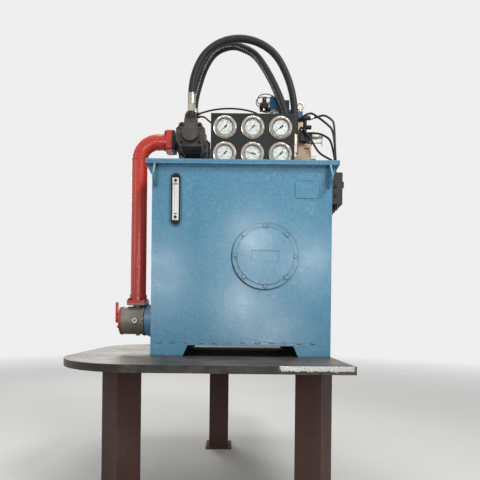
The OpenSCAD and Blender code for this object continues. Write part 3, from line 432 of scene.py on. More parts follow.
def plated(name, metal, dull, tarnish_and_reflection=(0.42, 0.36, 0.25), share=0.5):
    """Bright plating with warm patches, tarnished; on the stainless cases they are partly a
    painted reflection.
    """
    net = new_material(name, metal)
    spot = net.place()
    patch = net.spread(net.noise(spot, 30.0, 5.0, 0.6), 0.45, 0.8, 0.0, share)
    fine = net.noise(spot, 420.0, 2.0, 0.5)
    rough = net.plus(net.spread(fine, 0.3, 0.7, dull - 0.05, dull + 0.09),
                     net.times(patch, 0.25))
    shade_surface(net, net.blend(patch, metal, tarnish_and_reflection), rough, fine, 0.05, 0.0002,
                  Metallic=1.0)


def moulded(name, body, gloss, pale=None, specular=DULL):
    """Moulded plastic or rubber with a fine grain and a dusty bloom."""
    net = new_material(name, body)
    spot = net.place()
    fine = net.noise(spot, 500.0, 3.0, 0.6)
    bloom = net.spread(net.noise(spot, 18.0, 4.0, 0.6), 0.4, 0.8, 0.0, 0.4)
    pale = pale or tuple(min(1.0, c) for c in scaled(body, 1.6, 0.012))
    settled = net.mask("Settled Dust", Amount=0.25)
    tone = net.blend(settled, net.blend(bloom, body, pale), DUST)
    rough = net.plus(net.spread(fine, 0.3, 0.7, gloss - 0.06, gloss + 0.08),
                     net.times(settled, 0.3), clamp=True)
    shade_surface(net, tone, rough, fine, 0.1, 0.0003, Specular_IOR_Level=specular)


def make_table_material(plate):
    """Rolled plate, oily and scuffed, with rust in patches, a strip ground bright, and painted
    shade under the tank.
    """
    net = new_material("table_plate", plate)
    spot = net.place()
    x, y, z = net.add("SeparateXYZ", Vector=spot).outputs
    base = net.group("Cast Skin", Metal=plate, Dark=scaled(plate, 0.45), Grain=70.0,
                     Dullness=0.42)
    rust = net.spread(net.noise(spot, 6.5, 6.0, 0.68), 0.50, 0.74, 0.0, 0.75)
    tone = net.blend(rust, base["Color"], (0.135, 0.090, 0.062))
    scuff = net.spread(net.noise(net.place((0.12, 1.0, 1.0)), 46.0, 4.0, 0.7), 0.58, 0.74,
                       0.0, 0.45)
    tone = net.blend(scuff, tone, (0.20, 0.18, 0.16))
    # The thick pale dust on the plate's top is partly dust and partly a painted sheen
    tone = net.blend(net.mask("Settled Dust", Amount=0.9, Patch=4.0), tone,
                     (0.25, 0.205, 0.165))
    # The ground strip lies on the front edge, near the right corner
    ragged = net.times(net.noise(spot, 55.0, 4.0, 0.7), 0.03)
    lo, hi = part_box("table_top")
    flecks = net.noise(net.place((0.5, 1.0, 1.0)), 260.0, 3.0, 0.7)
    bright = net.times(net.spread(net.plus(x, ragged), hi.x - 0.338, hi.x - 0.326),
                       net.spread(x, hi.x - 0.016, hi.x - 0.006, 1.0, 0.0),
                       net.spread(y, lo.y + 0.0020, lo.y + 0.0005),
                       net.spread(net.plus(z, ragged), hi.z - 0.010, hi.z - 0.004),
                       net.spread(flecks, 0.34, 0.56, 0.15, 1.0))
    tone = net.blend(bright, tone, (0.62, 0.62, 0.60))
    rough = net.minus(base["Roughness"], net.times(scuff, 0.25))
    rough = net.plus(rough, net.times(rust, 0.2), clamp=True)
    # Painted shade: under the tank the plate is made near black, rougher and less metallic
    lo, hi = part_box("tank_floor")
    shade_beneath = net.times(net.spread(x, lo.x, lo.x + 0.02),
                        net.spread(x, hi.x - 0.02, hi.x, 1.0, 0.0),
                        net.spread(y, lo.y - 0.01, lo.y + 0.05),
                        net.spread(y, hi.y - 0.05, hi.y + 0.01, 1.0, 0.0))
    tone = net.blend(shade_beneath, tone, (0.010, 0.009, 0.008))
    rough = net.plus(rough, net.times(shade_beneath, 0.5), clamp=True)
    metal = net.plus(0.45, net.times(bright, 0.5), clamp=True)
    metal = net.minus(metal, net.times(rust, 0.4), clamp=True)
    metal = net.minus(metal, net.times(shade_beneath, 0.5), clamp=True)
    shader = shade_surface(net, tone, rough, base["Height"], 0.3, 0.0008,
                           Specular_IOR_Level=0.3)
    net.feed(shader.inputs["Metallic"], metal)


def make_hose_material(rubber):
    """Wrapped rubber cover, with a thin pale lay line of plain dashes along the hose."""
    net = new_material("hose_rubber", rubber)
    spot = net.place()
    along = net.add("UVMap", {"uv_map": "Along"}).outputs[0]
    across, run, _ = net.add("SeparateXYZ", Vector=along).outputs
    wrap = net.noise(net.add("Mapping", Vector=along, Scale=(2.0, 55.0, 1.0)).outputs[0], 6.0,
                     3.0)
    fine = net.noise(spot, 380.0, 3.0, 0.6)
    scuff = net.spread(net.noise(spot, 24.0, 5.0, 0.65), 0.45, 0.8, 0.0, 0.5)
    tone = net.blend(scuff, rubber, scaled(rubber, 1.5, 0.004))
    off_line = net.math("ABSOLUTE", net.minus(across, 0.5))
    off_dash = net.math("ABSOLUTE", net.minus(net.math("FRACT", net.times(run, 62.0)), 0.5))
    worn = net.spread(net.noise(spot, 130.0, 3.0, 0.6), 0.38, 0.52)
    mark = net.times(net.spread(off_line, 0.019, 0.025, 1.0, 0.0),
                     net.spread(off_dash, 0.30, 0.34, 1.0, 0.0), worn, 0.85)
    shade_surface(net, net.blend(mark, tone, (0.56, 0.56, 0.54)),
                  net.spread(fine, 0.3, 0.7, 0.42, 0.58),
                  net.plus(net.times(wrap, 0.8), net.times(fine, 0.5)), 0.22, 0.0006,
                  Specular_IOR_Level=0.25)


def make_glass_material():
    """Gauge glass: clear, with a faint film of dust; it lets light through to the dial."""
    net = new_material("gauge_glass", (0.9, 0.95, 0.95))
    tint = (0.97, 0.985, 0.98)
    film = net.spread(net.noise(net.place(), 60.0, 4.0, 0.6), 0.4, 0.8, 0.02, 0.10)
    shader = net.add("BsdfPrincipled", Base_Color=tint, Roughness=film, IOR=1.2,
                     Transmission_Weight=1.0)
    both = net.add("MixShader")
    for index, result in enumerate((net.add("LightPath").outputs["Is Shadow Ray"],
                                    shader.outputs[0],
                                    net.add("BsdfTransparent", Color=tint).outputs[0])):
        net.feed(both.inputs[index], result)
    net.end("Material", both.outputs[0])


class POWERUNIT_OT_finishes(bpy.types.Operator):
    """Make every material and give each solid its own."""

    bl_idname = "power_unit.finishes"
    bl_label = "Finishes"

    def execute(self, context):
        for name, (build, inputs) in GROUPS.items():
            make_group(name, build, inputs)
        p = paints()
        enamel("tank_paint", p.tank, p.tank_pale, gloss=0.19, speckle=0.50, wear=0.35,
               dust=0.35, runs=0.18, bump=0.19, deep=0.9, specular=0.65)
        enamel("pipe_red", p.pipe, (0.60, 0.060, 0.036), gloss=0.24, speckle=0.05, wear=0.3,
               dust=0.2, runs=0.10, coat=0.3, bump=0.08, deep=0.35, specular=0.35)
        enamel("leg_primer", p.primer, (0.090, 0.055, 0.048), gloss=0.62, speckle=0.35,
               wear=0.7, dust=0.5, runs=0.6, under=(0.20, 0.17, 0.15))
        enamel("black_iron", p.black_iron, faded(p.black_iron, 0.024), gloss=0.42, speckle=0.3)
        enamel("motor_black", (0.022, 0.023, 0.026), (0.045, 0.045, 0.048), gloss=0.45,
               speckle=0.25, dust=0.5, runs=0.1)
        enamel("panel_black", p.panel, faded(p.panel, 0.02), gloss=0.48, speckle=0.4, dust=0.25,
               runs=0.06)
        enamel("valve_blue", p.valve, (0.05, 0.15, 0.30), gloss=0.4, speckle=0.2, wear=0.5,
               dust=0.4, runs=0.15, coat=0.1, bump=0.2)
        enamel("box_grey", p.box, faded(p.box, 0.032), gloss=0.46, speckle=0.3, wear=0.3,
               runs=0.08, bump=0.25)
        casting("cast_grey", p.casting, scaled(p.casting, 0.6), grain=120.0, dull=0.45,
                metallic=0.3, wear=0.15)
        casting("pump_iron", p.pump, scaled(p.pump, 0.55), grain=150.0, dull=0.5, metallic=0.0,
                wear=0.35, specular=DULL)
        milled("raw_steel", p.steel)
        plated("zinc", p.zinc, 0.30)
        # On the stainless cases the warm patches are partly tarnished and partly a painted
        # reflection of a room
        plated("stainless", p.stainless, 0.16, (0.46, 0.37, 0.28), 0.4)
        plated("black_bolt", (0.045, 0.043, 0.042), 0.38, (0.10, 0.06, 0.04), 0.6)
        moulded("dial_white", (0.41, 0.43, 0.425), 0.5, pale=(0.37, 0.38, 0.36))
        moulded("gauge_shade", (0.050, 0.055, 0.050), 0.4)
        moulded("dial_ink", (0.02, 0.02, 0.022), 0.5)
        moulded("pointer_black", (0.012, 0.012, 0.012), 0.35)
        moulded("level_white", (0.74, 0.74, 0.71), 0.3, specular=PLAIN)
        moulded("level_red", (0.42, 0.06, 0.05), 0.3, specular=PLAIN)
        # Dark blue of the ring of painted shadow behind the access cover
        moulded("painted_shadow", (0.012, 0.040, 0.060), 0.45)
        moulded("cable_black", (0.014, 0.014, 0.014), 0.42)
        moulded("plug_black", (0.012, 0.012, 0.013), 0.5)
        make_table_material(p.plate)
        make_hose_material(p.rubber)
        make_glass_material()
        slot_of = {s["node"]: s["material_slot"] for s in frame["record"]["subparts"]}
        for name, node in frame["nodes"].items():
            node.data.materials.clear()
            node.data.materials.append(MATERIALS[slot_of[name]])
            for face in node.data.polygons:
                face.material_index = 0
        return {"FINISHED"}


# ---------------------------------------------------------------- mesh building

RIPPLE = 0.0035  # length of a ripple along a weld bead


def stud(radius, height, bevel, bevel_h):
    """Profile of a round stud with a broken edge."""
    return [(0, 0), (radius, 0), (radius, height - bevel_h), (radius - bevel, height),
            (0, height)]


class Shape:
    """A mesh in the making, in metres, in the frame's own axes."""

    def __init__(self):
        self.bm = bmesh.new()
        self.uv = self.bm.loops.layers.uv.new("Along")

    def rings(self, rings, capped=True, lengths=None):
        """Skins closed rings of points, one after another; a ring of one point is a tip."""
        made = [[self.bm.verts.new(p) for p in ring] for ring in rings]
        for i, (a, b) in enumerate(zip(made, made[1:])):
            sides = max(len(a), len(b))
            for j in range(sides):
                k = (j + 1) % sides
                if len(a) == 1:
                    face = self.bm.faces.new((a[0], b[j], b[k]))
                elif len(b) == 1:
                    face = self.bm.faces.new((a[j], b[0], a[k]))
                else:
                    face = self.bm.faces.new((a[j], b[j], b[k], a[k]))
                if lengths:
                    u0, u1 = j / sides, (j + 1) / sides
                    spots = ((u0, lengths[i]), (u0, lengths[i + 1]), (u1, lengths[i + 1]),
                             (u1, lengths[i]))
                    for loop, spot in zip(face.loops, spots):
                        loop[self.uv].uv = spot
        for ring in (made[0], made[-1][::-1]):
            if capped and len(ring) > 2:
                self.bm.faces.new(ring)

    def lathe(self, place, axis, profile, steps=32, turn=0.0):
        """Turns (radius, height) pairs about the axis; a profile that closes has no caps."""
        spin = Vector(axis).to_track_quat("Z", "Y").to_matrix()
        rings = []
        for radius, height in profile:
            angles = [turn + 2 * math.pi * j / steps for j in range(steps if radius > 1e-6 else 1)]
            rings.append([Vector(place) + spin @ Vector((radius * math.cos(a),
                                                         radius * math.sin(a), height))
                          for a in angles])
        self.rings(rings, tuple(profile[0]) != tuple(profile[-1]))

    def box(self, low_corner, high_corner, bevel=0.0):
        size = Vector(high_corner) - Vector(low_corner)
        centre = (Vector(high_corner) + Vector(low_corner)) / 2
        made = bmesh.ops.create_cube(self.bm, size=1.0, matrix=Matrix.Translation(centre)
                                     @ Matrix.Diagonal((*size, 1.0)))
        if bevel:
            edges = {e for v in made["verts"] for e in v.link_edges}
            bmesh.ops.bevel(self.bm, geom=list(edges), offset=bevel, segments=2,
                            affect="EDGES", profile=0.5, clamp_overlap=True)

    def hex_bolt(self, place, axis, flats, height, washer=True, turn=0.0):
        """Hexagon head, on a washer or bare."""
        r = flats / math.sqrt(3)
        base = flats * 0.10 if washer else 0.0
        if washer:
            self.lathe(place, axis, [(0, 0), (flats * 0.72, 0), (flats * 0.72, base * 0.8),
                                     (flats * 0.69, base), (0, base)], 28)
        self.lathe(place, axis, [(0, base), (r, base), (r, base + height * 0.86),
                                 (r * 0.86, base + height), (0, base + height)], 6, turn)

    def socket_bolt(self, place, axis, radius, height):
        """Cylinder head with its socket."""
        self.lathe(place, axis, [(0, 0), (radius, 0), (radius, height - radius * 0.16),
                                 (radius * 0.86, height), (radius * 0.56, height),
                                 (radius * 0.5, height - radius * 0.1),
                                 (radius * 0.5, height * 0.45), (0, height * 0.40)], 24)

    def tube(self, points, radius, sides, first=None, last=None, swell=None, turn=0.0,
             twist=0.0):
        """A round tube along the points; swell gives a factor for the radius at each point."""
        count = len(points)
        heading = [(points[min(i + 1, count - 1)] - points[max(i - 1, 0)]).normalized()
                   for i in range(count)]
        if first:
            heading[0], heading[-1] = (Vector(way).normalized() for way in (first, last))
        side = Vector((0.05, -1.0, 0.02))
        rings, lengths = [], [0.0]
        for i, (point, way) in enumerate(zip(points, heading)):
            side = (side - way * side.dot(way)).normalized()
            other = way.cross(side)
            r = radius * (swell(i) if swell else 1.0)
            rings.append([point + r * (math.cos(a) * side + math.sin(a) * other)
                          for a in (turn + twist * i / count + 2 * math.pi * (j / sides - 0.5)
                                    for j in range(sides))])
            if i:
                lengths.append(lengths[-1] + (point - points[i - 1]).length)
        self.rings(rings, lengths=lengths)

    def through(self, route, radius, sides, ease=0, swell=None):
        """A soft tube through a route in millimetres; swell counts from either end."""
        stops = [Vector(p) * MM for p in route]
        points = eased(soft_curve(stops), ease)
        count = len(points) - 1
        self.tube(points, radius, sides, stops[1] - stops[0], stops[-1] - stops[-2],
                  swell and (lambda i: swell(i, count - i)))

    def weld(self, start, end, radius, wobble=0.16, seed=0.0):
        """A straight rippled bead."""
        start, end = Vector(start), Vector(end)
        count = max(6, int((end - start).length / RIPPLE))
        points = [start.lerp(end, i / count) for i in range(count + 1)]
        self.tube(points, radius, 6, swell=lambda i: 0.25 if i in (0, count) else
                  1.0 + wobble * math.sin(2.1 * i + seed) + 0.10 * math.sin(0.37 * i + seed))

    def ring_weld(self, place, axis, ring, radius):
        """A rippled bead round an axis."""
        spin = Vector(axis).to_track_quat("Z", "Y").to_matrix()
        count = int(2 * math.pi * ring / RIPPLE)
        made = []
        for i in range(count):
            a = 2 * math.pi * i / count
            out = spin @ Vector((math.cos(a), math.sin(a), 0))
            r = radius * (1.0 + 0.16 * math.sin(2.1 * i))
            made.append([self.bm.verts.new(Vector(place) + out * (ring + r * math.cos(b))
                                           + spin @ Vector(UP) * r * math.sin(b))
                         for b in (2 * math.pi * k / 6 for k in range(6))])
        for a, b in zip(made, made[1:] + made[:1]):
            for k in range(6):
                self.bm.faces.new((a[k], b[k], b[(k + 1) % 6], a[(k + 1) % 6]))

    def piece(self, name, material, slot=None, sharp=38.0, replaces=()):
        """Closes the mesh as one piece that rides with the unit."""
        bmesh.ops.recalc_face_normals(self.bm, faces=self.bm.faces)
        mesh = bpy.data.meshes.new(name)
        self.bm.to_mesh(mesh)
        self.bm.free()
        mesh.materials.append(MATERIALS[material])
        mesh.shade_smooth()
        mesh.set_sharp_from_angle(angle=math.radians(sharp))
        piece = bpy.data.objects.new(name, mesh)
        bpy.context.scene.collection.objects.link(piece)
        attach(piece, "root")
        if replaces:
            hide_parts(*replaces)


def soft_curve(stops, steps=8):
    """Points of a smooth curve through the given ones."""
    out = []
    for i in range(len(stops) - 1):
        a, b, c, d = (stops[min(max(i + k, 0), len(stops) - 1)] for k in (-1, 0, 1, 2))
        for k in range(steps):
            u = k / steps
            out.append(0.5 * (2 * b + (c - a) * u + (2 * a - 5 * b + 4 * c - d) * u * u
                              + (3 * b - a - 3 * c + d) * u ** 3))
    return out + [stops[-1]]


def eased(points, passes):
    """The points of a cable with its bends evened out; both ends stay."""
    run = list(points)
    for _ in range(passes):
        run[3:-3] = [(a + 2 * b + c) / 4 for a, b, c in zip(run[2:-4], run[3:-3], run[4:-2])]
    return run


def round_edges(nodes, width):
    """Breaks the sharp edges of solids, as modifiers only."""
    for name in nodes:
        node = frame["nodes"][name]
        node.modifiers.new("Join", "WELD").merge_threshold = 0.00001
        bevel = node.modifiers.new("Edge break", "BEVEL")
        bevel.width = width
        bevel.segments = 2
        bevel.limit_method = "ANGLE"
        bevel.angle_limit = math.radians(40)
        bevel.use_clamp_overlap = True
        level = node.modifiers.new("Normals", "WEIGHTED_NORMAL")
        level.weight = 60
        level.keep_sharp = False


# ---------------------------------------------------------------- the unit's pieces

# Nodes by the width of their edge break, as a factor
EDGE_BREAKS = (
    (1.0, "tank_cover tank_flange table_top base_skirt_front base_skirt_back valve_tower"),
    (1.0, "port_block terminal_box terminal_box_lid motor_terminal_box lifting_lugs"),
    (1.0, "flange_gussets table_leg_front_left table_leg_front_right table_leg_rear"),
    (1.0, "filter_handle relief_valves"),
    (1.4, "pump_body pump_end_cover pump_bracket pump_adaptor outlet_flanges filter_body"),
    (1.4, "pipe_flanges drive_motor"),
    (1.5, "access_cover plate_pad level_frame"),
    (0.6, "gauge_panel panel_stays"),
)


class POWERUNIT_OT_edges(bpy.types.Operator):
    """Break the sharp edges of plates, blocks and castings."""

    bl_idname = "power_unit.edges"
    bl_label = "Edge breaks"

    def execute(self, context):
        for factor, nodes in EDGE_BREAKS:
            round_edges(nodes.split(), sizes().edge * factor)
        return {"FINISHED"}


class POWERUNIT_OT_table(bpy.types.Operator):
    """Weld the legs to the table's plate and to their feet."""

    bl_idname = "power_unit.table"
    bl_label = "Table welds"

    def execute(self, context):
        beads = Shape()
        bead = sizes().weld
        half, foot = 0.07, 0.012
        for name, turn in (("table_leg_front_left", 45), ("table_leg_front_right", 56),
                           ("table_leg_rear", 0)):
            spin = Matrix.Rotation(math.radians(turn), 2)
            corner = [middle(name).xy + spin @ Vector(signs) * half
                      for signs in ((1, 1), (-1, 1), (-1, -1), (1, -1))]
            for a, b in zip(corner, corner[1:] + corner[:1]):
                for z in (low("table_top").z - bead * 0.3, foot + bead * 0.3):
                    beads.weld((*a, z), (*b, z), bead, seed=a.x * 40)
        beads.piece("table_weld_beads", "leg_primer")
        return {"FINISHED"}


class POWERUNIT_OT_tank(bpy.types.Operator):
    """Weld seams of the tank, the access cover's bolts, and a ring of painted shadow at the cover.
    """

    bl_idname = "power_unit.tank"
    bl_label = "Tank"

    def execute(self, context):
        bead = sizes().weld
        sunk = bead * 0.2
        left, right = low("tank_front_wall").x, high("tank_front_wall").x
        front, back = low("tank_front_wall").y, high("tank_back_wall").y
        walls = ((front, -1), (back, 1))
        floor_z, flange_z = low("tank_floor").z, low("tank_flange").z
        beads = Shape()
        # Stitch welds along the tank's foot
        pitch, run = 0.078, 0.030
        for wall, sign in walls:
            y = wall + sign * bead * 0.3
            for i in range(int((right - left - 0.04) / pitch)):
                x = left + 0.03 + i * pitch
                beads.weld((x, y, floor_z), (x + run, y, floor_z), bead * 0.9, wobble=0.3,
                           seed=i * 1.7)
        # Full seams under the flange
        z = flange_z - sunk
        for wall, sign in walls:
            y = wall + sign * sunk
            beads.weld((left + 0.03, y, z), (right - 0.03, y, z), bead * 0.9, seed=sign)
        for wall, sign in ((left, -1), (right, 1)):
            x = wall + sign * sunk
            beads.weld((x, front + 0.02, z), (x, back - 0.02, z), bead * 0.9, seed=sign)
        # Both sides of each lifting lug
        lug_lo, lug_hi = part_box("lifting_lugs")
        lug_t = 0.010
        for lug_x in (lug_lo.x, lug_hi.x - lug_t):
            for wall, sign in walls:
                y = wall + sign * sunk
                for x in (lug_x - sunk, lug_x + lug_t + sunk):
                    beads.weld((x, y, flange_z - 0.008), (x, y, lug_lo.z + 0.004),
                               bead * 0.85, seed=x)
        # The filter's neck and its pad on the left wall
        neck = middle("filter_neck")
        pad_r, pad_t, neck_r = high("filter_neck").z - neck.z, 0.014, 0.1140
        beads.ring_weld((left, neck.y, neck.z), LEFT, pad_r, bead * 0.9)
        beads.ring_weld((left - pad_t, neck.y, neck.z), LEFT, neck_r, bead)
        beads.piece("tank_weld_beads", "tank_paint")

        bolts = Shape()
        centre = middle("access_cover")
        for i in range(8):
            across, up = polar(sizes().access_bolt_ring, i * 45 + 90)
            bolts.hex_bolt((centre.x + across, low("access_cover").y + 0.005, centre.z + up),
                           FRONT, sizes().access_head, 0.0075, turn=0.4 * i)
        bolts.piece("access_cover_bolts", "tank_paint", sharp=25)
        # A dark ring behind the cover, set down and to the left, is painted shadow: only a
        # crescent shows below and left of the cover
        painted_shadow = Shape()
        r = high("access_cover").x - centre.x
        painted_shadow.lathe((centre.x - 0.0032, front, centre.z - 0.0034), FRONT,
                     [(r - 0.012, 0.0001), (r + 0.0012, 0.0001), (r + 0.0022, 0.0012),
                      (r + 0.0012, 0.0024), (r - 0.012, 0.0024), (r - 0.012, 0.0001)], 96)
        painted_shadow.piece("access_cover_painted_shadow", "painted_shadow", "tank_paint", sharp=30)
        return {"FINISHED"}


class POWERUNIT_OT_level_gauge(bpy.types.Operator):
    """Slot, screws, scale and sealing rings of the level gauge."""

    bl_idname = "power_unit.level_gauge"
    bl_label = "Level gauge"

    def execute(self, context):
        lo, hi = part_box("level_gauge")
        x, front = (lo.x + hi.x) / 2, lo.y
        frame_lo, frame_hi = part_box("level_frame")
        half, rim = (frame_hi.x - frame_lo.x) / 2, 0.0072
        slot = Shape()
        outline = []
        for z, first in ((frame_hi.z - half, 0), (frame_lo.z + half, 180)):
            for k in range(17):
                across, up = polar(half - rim, first + k * 180 / 16)
                outline.append(Vector((x + across, frame_hi.y, z + up)))
        slot.rings([outline, [p + Vector(FRONT) * 0.0012 for p in outline]])
        slot.piece("level_gauge_slot", "plug_black", "black_iron")
        screws, seal_and_shade_rings, marks = Shape(), Shape(), Shape()
        for z in (lo.z + 0.015, hi.z - 0.015):
            screws.socket_bolt((x, front, z), FRONT, 0.0085, 0.004)
        for z in (lo.z + 0.034, hi.z - 0.034):
            seal_and_shade_rings.lathe((x, front + 0.007, z - 0.003), UP,
                        [(0.0066, 0), (0.0078, 0.001), (0.0078, 0.005), (0.0066, 0.006)], 24)
        for i in range(21):
            z = lo.z + 0.046 + i * (hi.z - lo.z - 0.092) / 20
            mark = 0.0055 if i % 5 == 0 else 0.0035
            marks.box((x + 0.0072, front + 0.0068, z - 0.0005),
                      (x + 0.0072 + mark, front + 0.0072, z + 0.0005))
        screws.piece("level_gauge_screws", "black_bolt", "level_white")
        marks.piece("level_gauge_scale", "level_red", "level_white")
        seal_and_shade_rings.piece("level_gauge_seals", "plug_black", "level_white")
        return {"FINISHED"}


class POWERUNIT_OT_suction(bpy.types.Operator):
    """Bolts, plug and welds of the suction line."""

    bl_idname = "power_unit.suction"
    bl_label = "Suction line"

    def execute(self, context):
        cap = middle("filter_cap")
        body_lo, body_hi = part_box("filter_body")
        bolts = Shape()
        # Around the red end cap, and around the filter's mounting flange
        for i in range(6):
            y, z = polar(0.077, 30 + 60 * i)
            bolts.hex_bolt((low("filter_cap").x + 0.0085, cap.y + y, cap.z + z), LEFT, 0.013,
                           0.006, turn=i)
            y, z = polar(0.0875, 60 * i)
            bolts.socket_bolt((body_hi.x - 0.012, cap.y + y, cap.z + z), LEFT, 0.0065, 0.007)
        # On both square flanges of the pipe: the lower one faces up, the upper one left
        pipe_r, bend, inset = 0.047, 0.114, 0.044
        pipe_x, face_z = low("suction_pipe").x + pipe_r, body_hi.z + 0.020
        face_x, pump_z = high("pipe_flanges").x - 0.034, middle("pump_adaptor").z
        for a, b in CORNERS:
            bolts.hex_bolt((pipe_x + a * inset, cap.y + b * inset, face_z), UP, 0.016, 0.009,
                           turn=a + b)
            bolts.hex_bolt((face_x, cap.y + a * inset, pump_z + b * inset), LEFT, 0.016, 0.009,
                           turn=a)
        bolts.piece("suction_line_bolts", "black_bolt", "black_iron", sharp=25)

        plug = Shape()
        plug.lathe((pipe_x, body_lo.y, cap.z), FRONT,
                   [(0, -0.001), (0.0165, -0.001), (0.0165, 0.003), (0.0150, 0.0045),
                    (0.0085, 0.0045), (0.0075, 0.0035), (0.0075, -0.0005), (0, -0.0008)])
        plug.piece("filter_plug", "zinc", sharp=30)

        beads = Shape()
        bead = sizes().weld * 0.8
        for x, z, axis, r, size in (
                (pipe_x, face_z + 0.033, UP, pipe_r + 0.0010, bead),
                (face_x - 0.018, pump_z, RIGHT, pipe_r + 0.0010, bead),
                (pipe_x, pump_z - bend, UP, pipe_r, bead * 0.6),
                (pipe_x + bend, pump_z, RIGHT, pipe_r, bead * 0.6)):
            beads.ring_weld((x, cap.y, z), axis, r, size)
        beads.piece("pipe_weld_beads", "pipe_red")
        return {"FINISHED"}


class POWERUNIT_OT_pump(bpy.types.Operator):
    """Bolts of the pump and its outlets, and the motor's fan grille."""

    bl_idname = "power_unit.pump"
    bl_label = "Pump set"

    def execute(self, context):
        cover_lo, cover_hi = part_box("pump_end_cover")
        lo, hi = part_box("outlet_flanges")
        axis_x, axis_z = (cover_lo.x + cover_hi.x) / 2, middle("pump_adaptor").z
        shoulder = lo.z + 0.020
        bolts = Shape()
        for a, b in CORNERS:
            bolts.socket_bolt((axis_x + a * 0.051, cover_lo.y + 0.044, axis_z + b * 0.051),
                              FRONT, 0.0102, 0.0085)
            for y in (lo.y + OUTLET, hi.y - OUTLET):
                bolts.socket_bolt((axis_x + a * 0.0275, y + b * 0.0275, shoulder), UP, 0.0078,
                                  0.010)
        bolts.piece("pump_bolts", "black_bolt", "black_iron", sharp=30)

        # Collars of the gauge lines, and bolts with long ends, at the front outlet
        collars = Shape()
        for place, axis in (((lo.x + 0.070, -0.160, 2.182), RIGHT),
                            ((lo.x + 0.066, -0.1365, 2.178), (0.87, 0.50, 0))):
            collars.hex_bolt(place, axis, 0.0170, 0.0110, washer=False, turn=0.4)
            collars.lathe(Vector(place) + Vector(axis) * 0.011, axis,
                          stud(0.0072, 0.010, 0.0014, 0.003), 20)
        for x, y, turn in ((0.010, 0.012, 0.2), (0.034, 0.008, 0.7), (0.008, 0.070, 0.5)):
            place = Vector((lo.x + x, lo.y + y, shoulder))
            collars.hex_bolt(place, UP, 0.0130, 0.012, turn=turn)
            collars.lathe(place + Vector(UP) * 0.012, UP, stud(0.0032, 0.013, 0.0010, 0.001),
                          14)
        collars.piece("outlet_collars", "black_bolt", "black_iron", sharp=30)

        grille = Shape()
        for i in range(7):
            r = 0.018 + i * 0.0115
            grille.lathe((axis_x, high("drive_motor").y - 0.003, axis_z), (0, 1, 0),
                         [(r, 0), (r + 0.0035, 0), (r + 0.0035, 0.0028), (r, 0.0028), (r, 0)],
                         64)
        grille.piece("motor_fan_grille", "motor_black")
        return {"FINISHED"}


OUTLET = 0.037  # from the outlet flanges' outer face to a hose's axis
END_Y = -0.1333290  # of both hoses, at the port block

# The two hoses: node; arcs before and after the closing arc, as radius in millimetres and
# headings in and out in degrees; headings of the closing arc, whose radius follows from the
# ends; turn and twist of the skin in degrees; radius of the ferrules; and how far the skin's
# centre lies inside the solid's, in metres, at shares of its length
HOSES = (
    ("arch_hose_front", [(446, 90, 66), (279, 66, -60)], [], (-60, -90), 150, 0, 0.0228,
     [(0.0, 0.0), (0.2, 0.0015), (0.45, 0.005), (0.6, 0.003), (0.8, 0.002), (1.0, 0.0)]),
    ("arch_hose_rear", [(496, 90, 49), (146, 49, -25), (330, -25, -56)], [(270, -72, -90)],
     (-56, -72), 4, 22, 0.0246,
     [(0.0, 0.0), (0.12, 0.0040), (0.27, -0.0065), (0.38, 0.0047), (0.45, 0.0050),
      (0.54, 0.0), (0.80, 0.0045), (1.0, 0.0)]),
)
# Profiles on a ferrule, from its own radius: body, crimp and lip
FERRULE_LEN = 0.063
FERRULE = [(-0.0007, 0), (0, 0.0010), (0, FERRULE_LEN - 0.004), (-0.002, FERRULE_LEN)]
CRIMP = [(-0.0005, 0), (0.0009, 0.0012), (0.0009, 0.0042), (-0.0005, 0.0054)]
LIP = [(-0.001, 0), (0.0014, 0.001), (0.0014, 0.004), (-0.003, 0.0050)]

# Routes of the thin lines, cables and wires, in millimetres
LINES = [
    [(-90.7, -160, 2182), (-76.7, -160, 2182), (13, -155, 2209), (113, -150, 2221),
     (215, -144, 2214), (287, -130, 2192), (270, -113, 2140), (246, -139, 2070),
     (246, -173, 2070)],
    [(-98.4, -141.4, 2178), (-84.4, -133.4, 2178), (-44, -129, 2178), (-11, -126, 2154),
     (65, -123, 2096), (85, -139, 2070), (85, -173, 2070)]]
CABLES = [
    [(531, -90, 2180), (531, -111, 2180), (591, -125, 2212), (624, -129, 2199),
     (669, -147, 2157), (704, -169, 2113), (724, -189, 2067)],
    [(632, -50, 2220), (653, -53, 2221), (684, -89, 2218), (708, -117, 2193),
     (726, -143, 2161), (736, -165, 2115)],
    [(591, -95, 2098), (591, -109, 2098), (651, -133, 2085), (693, -153, 2055),
     (718, -165, 2020)],
    [(543, -95, 2124), (543, -111, 2124), (550, -135, 2119), (580, -137, 2075),
     (616, -137, 2026), (658, -137, 1958)]]
CABLE_END = (737, -185, 1821)
WIRES = [
    [(304, -50, 2300), (292, -54, 2301), (283, -60, 2310), (284, -64, 2331), (299, -66, 2348),
     (330, -66, 2356), (366, -62, 2352), (390, -54, 2342), (396, -50, 2330)],
    [(304, -42, 2294), (290, -38, 2294), (278, -42, 2303), (276, -44, 2324), (289, -44, 2341),
     (316, -44, 2349), (350, -42, 2346), (374, -40, 2338), (380, -40, 2328)],
    [(316, -68, 2290), (316, -78, 2287), (300, -84, 2276), (296, -84, 2258), (310, -80, 2242),
     (334, -78, 2236), (352, -78, 2240), (364, -84, 2252), (366, -76, 2262)]]


def arc_step(arc, heading):
    """Offset along and up from an arc's start to where it has the given heading."""
    radius, start, h = arc[0] * MM, math.radians(arc[1]), math.radians(heading)
    return radius * (math.sin(start) - math.sin(h)), radius * (math.cos(h) - math.cos(start))


